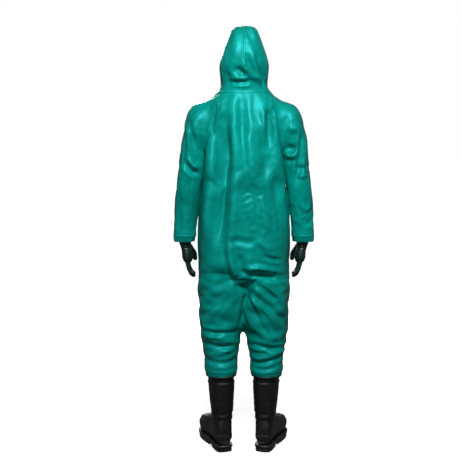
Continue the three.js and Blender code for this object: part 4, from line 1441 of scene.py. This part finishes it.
def zip_side(side):
    """One side of the zip: its tape and its row of moulded teeth, half a tooth from the other's."""
    k = SIDES[side]
    parts = []
    rows = 60
    for i in range(rows):
        low, high = ZIP_RUN * i / rows, ZIP_RUN * (i + 1) / rows
        parts.append(box_part(0.003 * k, 0.024 * k, TAPE_DEPTH, TAPE_DEPTH + 0.0009, low, high))
    parts.append(box_part(0.0042 * k, 0.0056 * k, 0.0022, TAPE_DEPTH + 0.0005, 0, ZIP_RUN))
    pitch = 0.0028
    at = 0.001 if k > 0 else 0.001 + pitch / 2
    while at < ZIP_RUN - 0.003:
        parts.append(box_part(0.0010 * k, 0.0048 * k, 0.0016, TAPE_DEPTH + 0.0006, at, at + 0.0016))
        parts.append(box_part(-0.0006 * k, 0.0012 * k, 0.0022, TAPE_DEPTH, at + 0.0002, at + 0.0014))
        at += pitch
    made = joined("zip_side_" + side, parts)
    faced_outwards(made)
    return finished(made, "zip_plastic", "suit_body", "zip_tape_" + side)


# Height and radius of a snap's cap and of its stud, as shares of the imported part.
CAP_TURN = [(0, 0.80), (0.06, 0.96), (0.30, 1.0), (0.52, 0.97), (0.70, 0.88), (0.74, 0.70)]
CAP_TURN += [(0.80, 0.62), (0.96, 0.40), (1.0, 0.16), (0.98, 0.02)]
STUD_TURN = [(0, 1.0), (0.16, 1.0), (0.24, 0.90), (0.30, 0.46), (0.55, 0.40), (0.75, 0.52)]
STUD_TURN += [(0.92, 0.50), (1.0, 0.38), (0.90, 0.10)]


def turned_snap(name, body, turn):
    """A turned snap part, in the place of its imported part."""
    low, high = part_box(name)
    middle = np.array((low + high) / 2)
    radius = (high.x - low.x) / 2
    tall = (high.y - low.y) - 2 * radius * UP[1]
    points = []
    for share, wide in turn:
        for i in range(40):
            a = 2 * math.pi * i / 40
            spot = middle + IN * tall * (0.5 - share)
            points.append(spot + radius * wide * (np.array([math.cos(a), 0, 0]) + UP * math.sin(a)))
    made = smooth(new_piece(name + "_turned", points, closed_rows(len(turn), 40)))
    return finished(made, "steel", body, name)


# ---- Camera, light and floor ----


def studio():
    SCENE.view_settings.view_transform = "Standard"
    camera = bpy.data.objects.new("camera", bpy.data.cameras.new("camera"))
    SCENE.collection.objects.link(camera)
    SCENE.camera = camera
    camera.data.lens = 73
    camera.location = (0.054, 3.9, 1.38)
    aim = Vector((0.054, 0, 0.936)) - camera.location
    camera.rotation_euler = aim.to_track_quat("-Z", "Y").to_euler()
    floor = new_piece("floor", [(-30, -30, 0), (30, -30, 0), (30, 30, 0), (-30, 30, 0)], [(0, 1, 2, 3)])
    paper = Finish("white_paper", (0.85, 0.85, 0.85), 1.0)
    away = (paper.axis("X") ** 2 + paper.axis("Y") ** 2) ** 0.5
    paper.set("Emission Color", paper.blend(away.step(1.0, 2.4), (0.5, 0.5, 0.5), (1, 1, 1)))
    paper.set("Emission Strength", 1.0)
    paper.set("Specular IOR Level", 0.0)
    floor.visible_diffuse = False
    floor.visible_glossy = False
    floor.data.materials.append(paper.material)
    world = bpy.data.worlds.new("studio")
    SCENE.world = world
    world.use_nodes = True
    tree = world.node_tree
    seen = tree.nodes.new("ShaderNodeLightPath")
    level = tree.nodes.new("ShaderNodeMix")
    tree.links.new(seen.outputs["Is Camera Ray"], level.inputs[0])
    level.inputs[2].default_value = 0.10
    level.inputs[3].default_value = 1.0
    sky = tree.nodes["Background"]
    sky.inputs["Color"].default_value = (1, 1, 1, 1)
    tree.links.new(level.outputs[0], sky.inputs["Strength"])
    for name, spot, size, power in (
        ("key", (-0.1, 2.2, 3.0), 0.7, 108),
        ("camera side", (1.6, 3.4, 1.7), 0.6, 9),
        ("front", (0.5, -3.2, 2.6), 1.2, 90),
    ):
        data = bpy.data.lights.new(name, "AREA")
        data.size = size
        data.energy = power
        lamp = bpy.data.objects.new(name, data)
        SCENE.collection.objects.link(lamp)
        lamp.location = spot
        lamp.rotation_euler = (Vector((0, 0, 1)) - lamp.location).to_track_quat("-Z", "Y").to_euler()


# ---- The suit put together ----


def suit_cloth():
    """The worn suit's panels, with the seams welded on them."""
    suit = cut_suit()
    drape(suit)
    mesh = suit.data
    z = coordinates(mesh)[:, 2]
    loose = 0.09 + 0.36 * ease(z, 0.66, 0.58)
    move_to(mesh, relaxed(mesh, coordinates(mesh), loose, 4))
    trunk = np.abs(coordinates(mesh)[:, 0]) < armhole_x(z)
    waist = 0.5 * ease(z, 0.94, 1.0) * ease(z, 1.16, 1.10) * trunk
    move_to(mesh, relaxed(mesh, coordinates(mesh), waist, 8))
    suit = subdivided(suit)
    folded(suit)
    cloth = Cloth(suit)
    bands = []
    for guides, half in seam_guides():
        bands += strip(cloth, guides, half)
    build_panels(cloth, bands)
    bpy.data.objects.remove(suit)
    return cloth


def front_closure():
    """The zip's sides, the strip behind it, the storm flap and the snaps."""
    for side in SIDES:
        zip_side(side)
    behind = [(0.027, TAPE_DEPTH + 0.0022), (0.0, TAPE_DEPTH + 0.0036), (-0.027, TAPE_DEPTH + 0.0036)]
    backing = front_strip("zip_backing_strip", behind, 0.0, ZIP_RUN, 0.0012, 0.0)
    finished(backing, "fabric_inside", "suit_body", "zip_backing")
    flap = front_strip("storm_flap_strip", FLAP_PROFILE, 0.0, FLAP_LENGTH, FLAP_WALL, 0.0006)
    finished(flap, "coated_fabric", "storm_flap", "storm_flap")
    for name in frame["nodes"]:
        if name.startswith("snap_cap"):
            turned_snap(name, "storm_flap", CAP_TURN)
        elif name.startswith("snap_stud"):
            turned_snap(name, "suit_body", STUD_TURN)


def finish_packed_parts():
    """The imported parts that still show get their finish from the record."""
    for part in frame["record"]["subparts"]:
        node = frame["nodes"][part["node"]]
        if not node.hide_render:
            node.data.materials.clear()
            node.data.materials.append(FINISHES[part["material_slot"]])


studio()
cloth = suit_cloth()
face_lip(cloth)
hood_tape(cloth)
front_closure()
for side in SIDES:
    glove(side)
    boot_upper(side)
    outsole(side)
    seal_ring(side)
finish_packed_parts()
